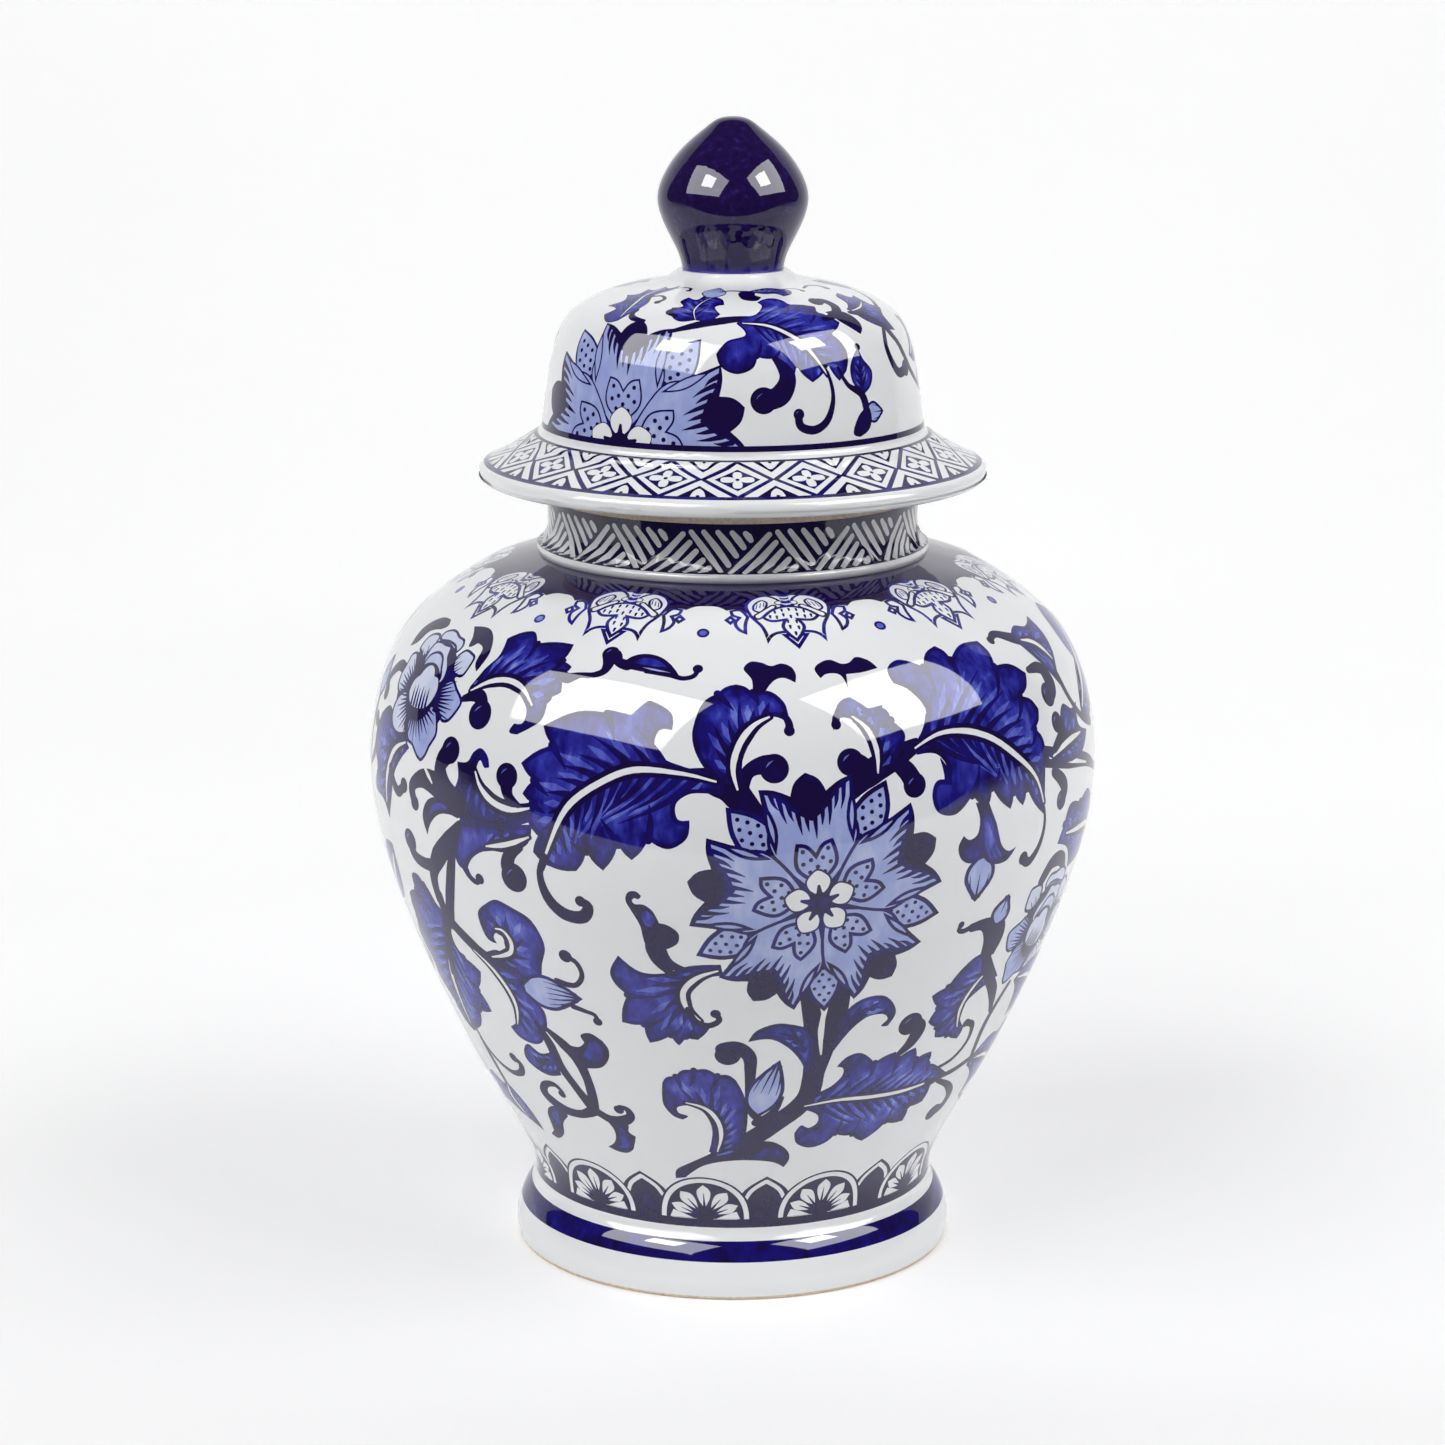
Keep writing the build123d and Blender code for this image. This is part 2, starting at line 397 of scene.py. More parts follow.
class Chart:
    """A turned skin unrolled so that shapes keep their look. y is in degrees up from its first ring."""

    def __init__(self, rings):
        line = bend(rings, STATION)
        self.radius, self.height = line.T
        ahead = np.gradient(line, axis=0)
        ahead /= np.hypot(*ahead.T)[:, None]
        self.out, self.up = ahead[:, 1], -ahead[:, 0]
        step = np.hypot(*np.diff(line, axis=0).T) / ((self.radius[1:] + self.radius[:-1]) / 2)
        self.y = np.degrees(np.r_[0, np.cumsum(step)])
        self.top = float(self.y[-1])

    def at(self, y):
        """Radius and height at y."""
        return np.interp(y, self.y, self.radius), np.interp(y, self.y, self.height)

    def wrap(self, points):
        """Places and outward directions on the turned skin for points on the chart."""
        angle = np.radians(points[:, 0])
        radius, height = self.at(points[:, 1])
        out, up = np.interp(points[:, 1], self.y, self.out), np.interp(points[:, 1], self.y, self.up)
        place = np.c_[radius * np.sin(angle), -radius * np.cos(angle), height]
        return place, np.c_[out * np.sin(angle), -out * np.cos(angle), up]

    def y_at_height(self, height):
        """y of a height in metres."""
        return float(np.interp(height, self.height, self.y))


def row_points(chart, y):
    """Evenly spaced points right round the chart at one y, both ends included."""
    radius = float(chart.at(y)[0])
    count = max(24, round(2 * math.pi * radius / GRID))
    x = np.linspace(-HALF_TURN, HALF_TURN, count + 1)
    return np.c_[x, np.full(count + 1, y)]


def mark_copies(line):
    """The mark, moved by full turns to wherever part of it falls between the chart's side edges."""
    for move in (-FULL_TURN, 0.0, FULL_TURN):
        copy = line + (move, 0)
        copy[np.abs(np.abs(copy[:, 0]) - HALF_TURN) < SEAM_CLEAR, 0] += 2 * SEAM_CLEAR
        if copy[:, 0].max() > -HALF_TURN and copy[:, 0].min() < HALF_TURN:
            yield copy


def cut_edges(line):
    """Edges of an outline between the chart's side edges, and where they meet those edges."""
    edges, cuts = [], []
    for a, b in zip(line, np.roll(line, -1, axis=0)):
        ends = [a, b]
        if max(a[0], b[0]) <= -HALF_TURN or min(a[0], b[0]) >= HALF_TURN:
            continue
        for side in (-HALF_TURN, HALF_TURN):
            for k in (0, 1):
                if (ends[k][0] - side) * side > 0:
                    share = (side - a[0]) / (b[0] - a[0])
                    ends[k] = np.array([side, round(a[1] + share * (b[1] - a[1]), 5)])
                    cuts.append(ends[k][1])
        edges.append(ends)
    return edges, cuts


def outline_net(chart, art):
    """Points and edges of every outline, and the heights at which they cross the chart's side edges."""
    points, edges, cuts = [], [], {0.0, chart.top}
    outlines = [copy for mark in art.marks if len(mark[0]) > 2 for copy in mark_copies(mark[0])]
    for line in outlines:
        line[:, 1] = np.clip(line[:, 1], 0, chart.top)
        if line[:, 0].min() > -HALF_TURN and line[:, 0].max() < HALF_TURN:
            first = len(points)
            points.extend(line)
            edges.extend((first + k, first + (k + 1) % len(line)) for k in range(len(line)))
            continue
        parts, met = cut_edges(line)
        cuts.update(met)
        for a, b in parts:
            edges.append((len(points), len(points) + 1))
            points.extend([a, b])
    return points, edges, cuts


def grid_rows(chart, levels):
    """Staggered rows of points for bare glaze, as (y, gap, row), clear of the given levels."""
    y, odd = 0.0, False
    while True:
        gap = math.degrees(GRID / float(chart.at(y)[0]))
        y += gap * ROW_RISE
        odd = not odd
        if y > chart.top - gap * POINT_CLEAR:
            break
        if np.abs(levels - y).min() < gap * ROW_CLEAR:
            continue
        row = row_points(chart, y)
        if odd:
            row = np.vstack([row[:1], (row[1:] + row[:-1]) / 2, row[-1:]])
        yield y, gap, row


def flat_mesh(chart, art):
    """Triangles on the chart that follow the edge of every mark."""
    points, edges, cuts = outline_net(chart, art)

    def chain(row):
        edges.extend((len(points) + k, len(points) + k + 1) for k in range(len(row) - 1))
        points.extend(row)

    marked = Near(points)
    levels = [y for level in art.levels for y in level]
    for y in sorted({0.0, chart.top, *(min(max(y, 0.0), chart.top) for y in levels)}):
        row = row_points(chart, y)
        cuts.add(float(row[0, 1]))
        chain(row)
    for y, gap, row in grid_rows(chart, np.array(levels + [0.0, chart.top])):
        cuts.add(y)
        points.extend(p for p in row[1:-1] if marked.clear(p, gap * POINT_CLEAR))
    cuts = sorted(cuts)
    for side in (-HALF_TURN, HALF_TURN):
        chain([np.array([side, cut]) for cut in cuts])
    flat = delaunay_2d_cdt([Vector(p) for p in points], edges, [], 0, SAME, False)
    triangles = [face for face in flat[2] if len(face) == 3]
    return np.array([tuple(v) for v in flat[0]], float), np.array(triangles, int)


class Near:
    """Tells whether a place on the chart is clear of every point given."""

    def __init__(self, points, cell=1.0):
        self.cell = cell
        self.boxes = {}
        for p in points:
            self.boxes.setdefault((int(p[0] // cell), int(p[1] // cell)), []).append(p)

    def clear(self, place, gap):
        """Whether no point is closer than gap both in x and in y."""
        x, y = int(place[0] // self.cell), int(place[1] // self.cell)
        span = int(gap // self.cell) + 1
        for i in range(x - span, x + span + 1):
            for j in range(y - span, y + span + 1):
                for p in self.boxes.get((i, j), ()):
                    if abs(p[0] - place[0]) < gap and abs(p[1] - place[1]) < gap:
                        return False
        return True


def top_marks(art, centres):
    """For each triangle, the number of the last mark painted over it, or -1 for bare glaze."""
    order = np.argsort(centres[:, 0])
    x = centres[order, 0]
    top = np.full(len(centres), -1)
    for k, (line, _, _) in enumerate(art.marks):
        if isinstance(line, tuple):
            top[(centres[:, 1] > line[0]) & (centres[:, 1] < line[1])] = k
            continue
        for copy in mark_copies(line):
            low, high = copy.min(0), copy.max(0)
            near = order[np.searchsorted(x, low[0]):np.searchsorted(x, high[0])]
            near = near[(centres[near, 1] > low[1]) & (centres[near, 1] < high[1])]
            if len(near):
                top[near[inside(centres[near], copy)]] = k
    return top


def corner_cobalt(art, flat, faces, top):
    """The amount of cobalt at each corner of each triangle."""
    cobalt = np.zeros((len(faces), 3))
    for k in np.unique(top[top >= 0]):
        line, level, pooled = art.marks[k]
        mine = np.where(top == k)[0]
        cobalt[mine] = level
        if pooled:
            corners = flat[faces[mine]].reshape(-1, 2)
            gaps = np.min([edge_distance(corners, copy) for copy in mark_copies(line)], axis=0)
            cobalt[mine] += (pooled * np.exp(-gaps / POOL_REACH)).reshape(-1, 3)
    return cobalt


def zipped(lower, upper):
    """Triangles between two closed rings of (vertex numbers, angles), each in order of angle."""
    (a, a_turn), (b, b_turn) = lower, upper
    if len(b) == 1:
        return [(a[i], a[(i + 1) % len(a)], b[0]) for i in range(len(a))]
    if len(a) == 1:
        return [(a[0], b[(i + 1) % len(b)], b[i]) for i in range(len(b))]
    a_turn, b_turn = list(a_turn) + [a_turn[0] + FULL_TURN], list(b_turn) + [b_turn[0] + FULL_TURN]
    i = j = 0
    faces = []
    while i < len(a) or j < len(b):
        if j == len(b) or (i < len(a) and a_turn[i + 1] <= b_turn[j + 1]):
            faces.append((a[i], a[(i + 1) % len(a)], b[j % len(b)]))
            i += 1
        else:
            faces.append((a[i % len(a)], b[(j + 1) % len(b)], b[j]))
            j += 1
    return faces


def side_edges_joined(flat):
    """Each point's own number, but on the chart's right edge that of its twin on the left."""
    right = np.where(flat[:, 0] > HALF_TURN - SAME)[0]
    left = np.where(flat[:, 0] < -HALF_TURN + SAME)[0]
    left = left[np.argsort(flat[left, 1])]
    match = left[np.clip(np.searchsorted(flat[left, 1], flat[right, 1] - SAME), 0, len(left) - 1)]
    assert len(left) == len(right) and np.abs(flat[match, 1] - flat[right, 1]).max() < 10 * SAME
    joined = np.arange(len(flat))
    joined[right] = match
    return joined


class Turned:
    """A closed turned piece: a painted skin, and plain rings that close it out of sight."""

    def __init__(self, chart, art, before, after, bare):
        flat, faces = flat_mesh(chart, art)
        top = top_marks(art, flat[faces].mean(axis=1))
        self.cobalt = corner_cobalt(art, flat, faces, top).tolist()
        joined = side_edges_joined(flat)
        used = np.unique(joined)
        renumber = np.full(len(flat), -1)
        renumber[used] = np.arange(len(used))
        place, normal = chart.wrap(flat)
        self.places = place[used].tolist()
        self.faces = renumber[joined[faces]].tolist()
        self.normals = normal[faces].tolist()
        self.glaze = [0.0 if bare(*chart.at(y)) else 1.0 for y in flat[faces].mean(axis=1)[:, 1]]
        edge = flat[used]
        ends = []
        for level in (0.0, chart.top):
            ring = np.where(np.abs(edge[:, 1] - level) < SAME)[0]
            ring = ring[np.argsort(edge[ring, 0])]
            ends.append((ring.tolist(), edge[ring, 0].tolist()))
        self.plain([self.ring(p) for p in before] + [(ends[0], (chart.radius[0], chart.height[0]))],
                   bare)
        closing = [] if before else [(ends[0], (chart.radius[0], chart.height[0]))]
        self.plain([(ends[1],
                     (chart.radius[-1], chart.height[-1]))] + [self.ring(p) for p in after] + closing,
                   bare)

    def ring(self, point):
        """A plain ring of vertices at (radius, height), as ((numbers, angles), point)."""
        radius, height = point
        count = PLAIN_SEGMENTS if radius > SEAM_GAP else 1
        turn = np.linspace(-HALF_TURN, HALF_TURN, count, endpoint=False)
        first = len(self.places)
        for angle in np.radians(turn):
            self.places.append([radius * math.sin(angle), -radius * math.cos(angle), height])
        return (list(range(first, first + count)), turn.tolist()), point

    def plain(self, rings, bare):
        """Joins rings one after another. Normals are smooth where the profile bends gently."""
        strips = []
        for (lower, p), (upper, q) in zip(rings, rings[1:]):
            run = np.array([q[0] - p[0], q[1] - p[1]])
            strips.append(np.array([run[1], -run[0]]) / max(math.hypot(*run), TINY))
        for k, ((lower, p), (upper, q)) in enumerate(zip(rings, rings[1:])):
            low = high = strips[k]
            if k and strips[k] @ strips[k - 1] > SHARP:
                low = strips[k] + strips[k - 1]
            if k + 1 < len(strips) and strips[k] @ strips[k + 1] > SHARP:
                high = strips[k] + strips[k + 1]
            lower_set = set(lower[0])
            glaze = 0.0 if bare((p[0] + q[0]) / 2, (p[1] + q[1]) / 2) else 1.0
            for face in zipped(lower, upper):
                self.faces.append(list(face))
                self.cobalt.append([0.0, 0.0, 0.0])
                self.glaze.append(glaze)
                corners = []
                for v in face:
                    out, up = low if v in lower_set else high
                    x, y, _ = self.places[v]
                    radius = max(math.hypot(x, y), TINY)
                    size = max(math.hypot(out, up), TINY)
                    corners.append([out * x / radius / size, out * y / radius / size, up / size])
                self.normals.append(corners)

    def piece(self, name, body, node, slot, material):
        """The finished mesh, riding on a body in place of a CAD node."""
        mesh = bpy.data.meshes.new(name)
        mesh.from_pydata(self.places, [], self.faces)
        cobalt = mesh.attributes.new("cobalt", "FLOAT", "CORNER")
        cobalt.data.foreach_set("value", np.array(self.cobalt, np.float32).ravel())
        glaze = mesh.attributes.new("glaze", "FLOAT", "CORNER")
        glaze.data.foreach_set("value", np.repeat(np.array(self.glaze, np.float32), 3))
        mesh.polygons.foreach_set("use_smooth", [True] * len(self.faces))
        mesh.materials.append(material)
        mesh.normals_split_custom_set(np.array(self.normals, float).reshape(-1, 3))
        piece = bpy.data.objects.new(name, mesh)
        bpy.context.scene.collection.objects.link(piece)
        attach(piece, body)
        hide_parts(node)
        return piece


# ---------------------------------------------------------------- motifs

# How many there are round the jar, and the angle of the first
LAPPETS, FIRST_LAPPET = 11, -7.8
MEDALLIONS, FIRST_MEDALLION = 10, 12.1
HATCHES, FIRST_HATCH = 14, -2.6
DIAMONDS, FIRST_DIAMOND = 20, 1.0
COLLAR_FOOT = 143.6   # y of the lower edge of the shoulder's dark collar


def lobes(corners, bulge=0.07):
    """Stretches for outline() that run from corner to corner, each one bowed to the left of its way."""
    runs = []
    for a, b in zip(corners, corners[1:]):
        middle = ((a[0] + b[0]) / 2 - (b[1] - a[1]) * bulge, (a[1] + b[1]) / 2 + (b[0] - a[0]) * bulge)
        runs.append([middle, b])
    return runs


def lotus(art, at, size=1.0, lean=7.0):
    """The main flower: five fringed petals with dotted hearts, and five dotted petals between them."""

    def put(points, turn):
        return placed(points, at, turn, size)

    step = FULL_TURN / 5
    main = [lean + step * k for k in range(5)]
    between = [lean + step / 2 + step * k for k in range(5)]
    for turn in main:
        backing = outline([(-6.4, 9), (-7.2, 18.7)], [(-5, 18.3), (-2.7, 17.1)],
                          [(-1.8, 19), (0, 20.2)], [(1.8, 19), (2.7, 17.1)], [(5, 18.3), (7.2, 18.7)],
                          [(6.4, 9)], [(0, 0)])
        art.fill(put(backing, turn), DARK)
    art.disc(at, 11 * size)
    for turn in between:
        petal = outline([(0, 9.6), (-2.9, 13.4), (-2.5, 17), (0, 20.8)],
                        [(2.5, 17), (2.9, 13.4), (0, 9.6)])
        art.shape(put(petal, turn), PALE)
        for y, xs in [(18.3, (0,)), (17, (-0.8, 0.8)), (15.6, (-1.6, 0, 1.6)), (14.2, (-0.9, 0.8)),
                      (13, (-1.3, 0.2)), (11.8, (0,))]:
            for x in xs:
                art.disc(put([(x, y)], turn)[0], 0.34 * size)
    for turn in main:
        side = [(0, 1), (-4.7, 5.9), (-6.9, 9.8), (-6.5, 14), (-7.1, 18.7)]
        other = [(-x, y) for x, y in reversed(side)]
        rim = [[(-5.4, 18), (-3.9, 17), (-2.3, 15.2), (0, 13.6)],
               [(2.3, 15.2), (3.9, 17), (5.4, 18), (7.1, 18.7)]]
        art.shape(put(outline(side, *rim, other[1:]), turn), PALE, LINE * 0.7)
        for k, swing in enumerate((-5.4, -4.3, -3.1, -1.9, -0.7, 0.5, 1.7, 2.9, 4.1, 5.3)):
            rim_y = 13.4 + 0.85 * max(abs(swing) - 0.9, 0)
            deep = rim_y - (3.1 if k % 2 else 1.9)
            stroke = [(swing * 1.04, rim_y + 0.7), (swing * 0.97, (rim_y + deep) / 2),
                      (swing * 0.86, deep)]
            art.brush(put(stroke, turn), (0.85 * size, 0.6 * size, 0.12))
    for turn in between:
        for flip in (False, True):
            fold = outline([(-0.4, 10.4), (-3.2, 13.2), (-4.6, 17.6)], [(-2.2, 14.8), (-0.4, 10.4)])
            art.shape(placed(fold, at, turn, size, flip), PALE, LINE * 0.7)
    for turn in main:
        heart = outline([(0, 3.2), (-3.2, 6), (-2.8, 10)], [(-1.2, 9.6), (0, 8.2)],
                        [(1.2, 9.6), (2.8, 10)], [(3.2, 6), (0, 3.2)])
        art.shape(put(heart, turn), PALE, LINE * 0.8)
        for x, y in [(-1.9, 8.6), (1.9, 8.6), (-0.8, 7.2), (1, 7.3), (-2, 6.7), (2.1, 6.5), (0.1, 6),
                     (-1.1, 5.3), (1.1, 5.1)]:
            art.disc(put([(x, y)], turn)[0], 0.34 * size)
    for turn in main:
        drop = outline([(0, 1), (-1.7, 2.4), (-2, 4), (0, 5.7), (2, 4), (1.7, 2.4), (0, 1)])
        art.shape(put(drop, turn), WHITE, 0.3)
    art.disc(at, 1.9 * size)
    for turn in main:
        art.brush(put([(0, 0.5), (0, 2.9)], turn), (1.5 * size, 0.5 * size))


def peony(art, at, turn=0.0, size=1.0, flip=False):
    """The second flower: a scalloped heart in a ring of ruffled petals with hatching at their roots."""
    hub = (0.4, -2.6)
    sliver = 0.12   # share of a petal's width without hatching, at either side

    def put(points):
        return placed(points, at, turn, size, flip)

    def petal(points, near=0.0, far=0.0, count=0, tone=PALE):
        art.shape(put(bend(points, closed=True)), tone, 0.5)
        angles = [math.atan2(y - hub[1], x - hub[0]) for x, y in points]
        if max(angles) - min(angles) > math.pi:
            angles = [a % (2 * math.pi) for a in angles]
        low, high = min(angles), max(angles)
        for k in range(count):
            angle = low + (high - low) * (sliver + (1 - 2 * sliver) * k / (count - 1))
            reach = far - (0.9 if k % 2 else 0)
            way = np.array([math.cos(angle), math.sin(angle)])
            art.brush(put([way * near + hub, way * reach + hub]), (0.6 * size, 0.1))

    art.disc(put([(0.3, -1)])[0], 8.8 * size)
    petal([(-4.2, 3.3), (-5.9, 4), (-7.6, 4.6), (-7.6, 7.2), (-5.9, 8.5), (-3.6, 8.5), (-2.9, 7),
           (-3.3, 5)], 7.2, 10, 6, 0.1)
    petal([(-2.9, 7.6), (-3.3, 9.3), (-1.6, 10.4), (0.3, 10.5), (2.6, 9.7), (4.8, 9.3), (5.8, 7.8),
           (5, 6.3), (3.3, 7.4), (0.7, 7.8)], tone=0.1)
    petal([(-4.8, -1.8), (-7, -3.5), (-8.9, -2.9), (-9.7, -0.9), (-9.3, 1.2), (-9.1, 3.3), (-7.4, 4),
           (-5.9, 2.9), (-4.4, 1.2)], 5.6, 9, 8, 0.1)
    petal([(-1.4, -5.2), (-1.8, -7.3), (-1, -8.6), (-3.6, -9.5), (-6.5, -9), (-8, -7.3), (-8, -5.2),
           (-6.5, -3.1), (-4.4, -2.4)], 3.6, 7.4, 9, 0.1)
    petal([(5.8, 5.5), (7.1, 7.6), (9.3, 7.4), (10.7, 6.7), (10.8, 4.4), (10.1, 2.7), (8, 2.6),
           (6.7, 3.3)], 7.4, 11, 7, 0.1)
    petal([(4.3, -2.9), (6.3, -3.1), (7.8, -5.2), (8.2, -7.3), (6.9, -9.3), (6, -11), (4.8, -11.9),
           (3.3, -11.4), (1.6, -10.1), (0.1, -9.7), (-1, -8.2), (-1, -6.3), (0.7, -5.2)], 3.2, 7.2, 10,
          PALE)
    petal([(5.5, -0.5), (6.5, 1.2), (8.4, 2), (10.1, 0.8), (12, -0.5), (12.5, -1.4), (11.8, -3.1),
           (10.3, -4.8), (8.6, -5), (7.5, -4.1), (5.5, -2.2)], 5.4, 10, 9, PALE)
    petal([(-3.3, 2.9), (-3.3, 7), (-1.6, 7.6), (0.5, 7.4), (2.6, 7.4), (3.7, 5.5), (5.6, 3.3),
           (5.6, 0.8), (0.5, -1)], tone=0.1)
    petal([(-2.7, 2), (-2.5, 4.4), (-1, 5.5), (0.7, 5.7), (2.4, 5), (3.7, 3.3), (4.8, 1.2), (0.5, -1)],
          tone=0.15)
    art.disc(put([(0.5, -1.4)])[0], 4.9 * size)
    heart = outline([(-3.5, -2.2), (-3.2, -0.5), (-1.8, 0.8)],
                    [(-0.8, 2.5), (0.5, 3), (1.8, 2.5), (2.6, 1.4)],
                    [(4.1, 1.2), (5, -0.5), (4.6, -2.2), (3.3, -3.7), (0.5, -4.3), (-2.1, -3.9),
                     (-3.5, -2.2)])
    art.fill(put(heart), 0.1)
    for k in range(6):
        x = -1.9 + 0.95 * k
        stroke = [(x + 0.3, -4), (x + 0.1, -2.6), (x - 0.1, -1.1 + 0.5 * (k % 2))]
        art.brush(put(stroke), (0.7 * size, 0.5 * size, 0.1))


def medallion(art, x):
    """A shoulder pendant: two scrolls over a dotted body with a forked tail."""

    def put(points, flip=False):
        return placed(points, (x, 0), flip=flip)

    def white(line, flip=False, width=0.75):
        art.shape(put(line, flip), WHITE, width, contour=DEEP)

    for flip in (False, True):
        hook = outline([(-8.7, 134.8), (-9.3, 132.6), (-9.4, 129.5)],
                       [(-11.3, 130.8), (-12.1, 132.8), (-11.4, 134.4)], [(-12.6, 135.2), (-13, 137)],
                       [(-10.6, 137.4), (-8.7, 134.8)])
        white(hook, flip)
        gem = outline([(-12.7, 135.3)], [(-14.1, 133.8)], [(-12.7, 132.3)], [(-11.4, 133.8)],
                      [(-12.7, 135.3)])
        white(gem, flip)
    chin = outline([(-2.9, 129.6), (0, 125.5)], [(2.9, 129.6)])
    white(chin)
    for flip in (False, True):
        scroll = outline([(-0.9, 139.2), (-1.6, 142), (-4.2, 144), (-7.5, 142.7), (-9.6, 139),
                          (-8.8, 135), (-6.6, 131.4), (-5.7, 127)], [(-4, 129.3), (-0.9, 129.8)])
        white(scroll, flip)
    for flip in (False, True):
        eye = bend([(-5.6, 141.6), (-7.7, 139.3), (-7.9, 136.9), (-6.3, 136), (-4.6, 138.2),
                    (-4.3, 140.6)], closed=True)
        white(eye, flip, 0.55)
        for k in range(3):
            art.brush(put([(-7.2 + k * 0.9, 137.4 + k * 0.5), (-6.7 + k * 0.8, 139.6 + k * 0.4)], flip),
                      (0.3, 0.2), WASH)
        art.brush(put([(-7, 134.8), (-5.2, 136.3), (-3.2, 138.4)], flip), (2.0, 2.0, 1.7))
        art.brush(put([(-6.9, 134.9), (-5.2, 136.3), (-3.3, 138.3)], flip), (1.1, 1.1, 0.8), WHITE)
        art.disc(put([(-1.7, 139.9)], flip)[0], 1.1)
        art.disc(put([(-1.8, 140)], flip)[0], 0.7, WHITE)
    body = outline([(-6.4, 134.6), (-4.6, 133.1), (-2, 133.2)],
                   [(-2.5, 131.6), (-1.9, 129.8), (0, 127.2)], [(1.9, 129.8), (2.5, 131.6), (2, 133.2)],
                   [(4.6, 133.1), (6.4, 134.6)],
                   [(3.4, 137.6), (0, 138.6), (-3.4, 137.6), (-6.4, 134.6)])
    white(body)
    for px, py in [(0, 137), (-1.6, 136.8), (1.6, 136.8), (-3.2, 136.2), (3.2, 136.2), (-4.4, 134.7),
                   (4.4, 134.7), (-3, 134.5), (3, 134.5), (-1.5, 135.2), (1.5, 135.2), (0, 134.6),
                   (-0.9, 133.2), (0.9, 133), (-0.7, 131.5), (1, 131.2), (0.1, 129.6)]:
        art.brush(put([(px, py + 0.35), (px, py - 0.35)]), (0.6, 0.45), DEEP)
    art.fill(put(outline([(-1.9, 144.6)], [(-1, 141.4), (-1.7, 138.8)], [(0, 138), (1.7, 138.8)],
                         [(1, 141.4), (1.9, 144.6)])), DEEP)
    for y, half, bow in [(143.2, 1.5, -0.6), (141.6, 0.9, -0.5), (139.7, 1.3, -0.5)]:
        art.brush(put([(-half, y), (0, y + bow), (half, y)]), (0.4, 0.8, 0.4), 0.1)


def shoulder_band(art, top):
    """The dark collar round the neck, scalloped between ten medallions."""
    art.band(COLLAR_FOOT, top + 1, DARK)
    period = FULL_TURN / MEDALLIONS
    for k in range(MEDALLIONS):
        x = FIRST_MEDALLION + period * k
        gap = outline([(x + 6, 144), (x + 6, 136.4)], [(x + 8.6, 135.2)],
                      [(x + 11, 137.4), (x + 13.6, 136.9)],
                      [(x + 15.6, 138.4), (x + 18, 138.7), (x + 20.4, 138.4), (x + 22.4, 136.9)],
                      [(x + 25, 137.4), (x + 27.4, 135.2)], [(x + 30, 136.4)], [(x + 30, 144)])
        art.fill(gap, DARK)
        art.disc((x + 18, 130), 1.25, DEEP)
        art.disc((x + 18, 130), 0.7, SOFT)
    for k in range(MEDALLIONS):
        medallion(art, FIRST_MEDALLION + period * k)


def foot_lappets(art):
    """Fan-shaped lappets that stand on a line at the waist, with pointed ones between them."""
    art.band(0.0, 2.5, DARK)
    period = FULL_TURN / LAPPETS
    for k in range(LAPPETS):
        x = FIRST_LAPPET + period * k + period / 2
        art.patch([(x - 7, 1)], [(x - 6.4, 11), (x, 17.4)], [(x + 6.4, 11), (x + 7, 1)])
        for side in (1, -1):
            art.brush([(x - side * 5, 9.6), (x - side * 3.6, 12.4), (x, 15.6)], (1.1, 1.2, 1.3), WHITE)
    for k in range(LAPPETS):
        x = FIRST_LAPPET + period * k
        for rx, ry, cobalt in ((12.9, 14.6, DARK), (12.3, 14, WHITE), (10.9, 12.5, DARK)):
            angle = np.radians(np.linspace(0, 180, 40))
            art.fill(np.c_[x + rx * np.cos(angle), 2.6 + ry * np.sin(angle)], cobalt)
        for turn, tip, width in [(0, 11.2, 3.5), (36, 10.6, 3.6), (-36, 10.6, 3.6), (66, 10, 3.0),
                                 (-66, 10, 3.0)]:
            petal = outline([(0, 3), (-width * 0.42, 6), (-width / 2, tip - 2.2), (0, tip)],
                            [(width / 2, tip - 2.2), (width * 0.42, 6), (0, 3)])
            art.fill(placed(petal, (x, 3), turn), WHITE)
            art.brush(placed([(0, 3), (0, tip - 3)], (x, 3), turn), (0.8, 0.15))
        for side in (1, -1):
            art.patch([(x + side * 3.2, 2.7), (x + side * 6, 4), (x + side * 8.8, 5)],
                      [(x + side * 9.8, 2.7)], cobalt=WHITE)
        art.disc((x, 3.4), 2.5)


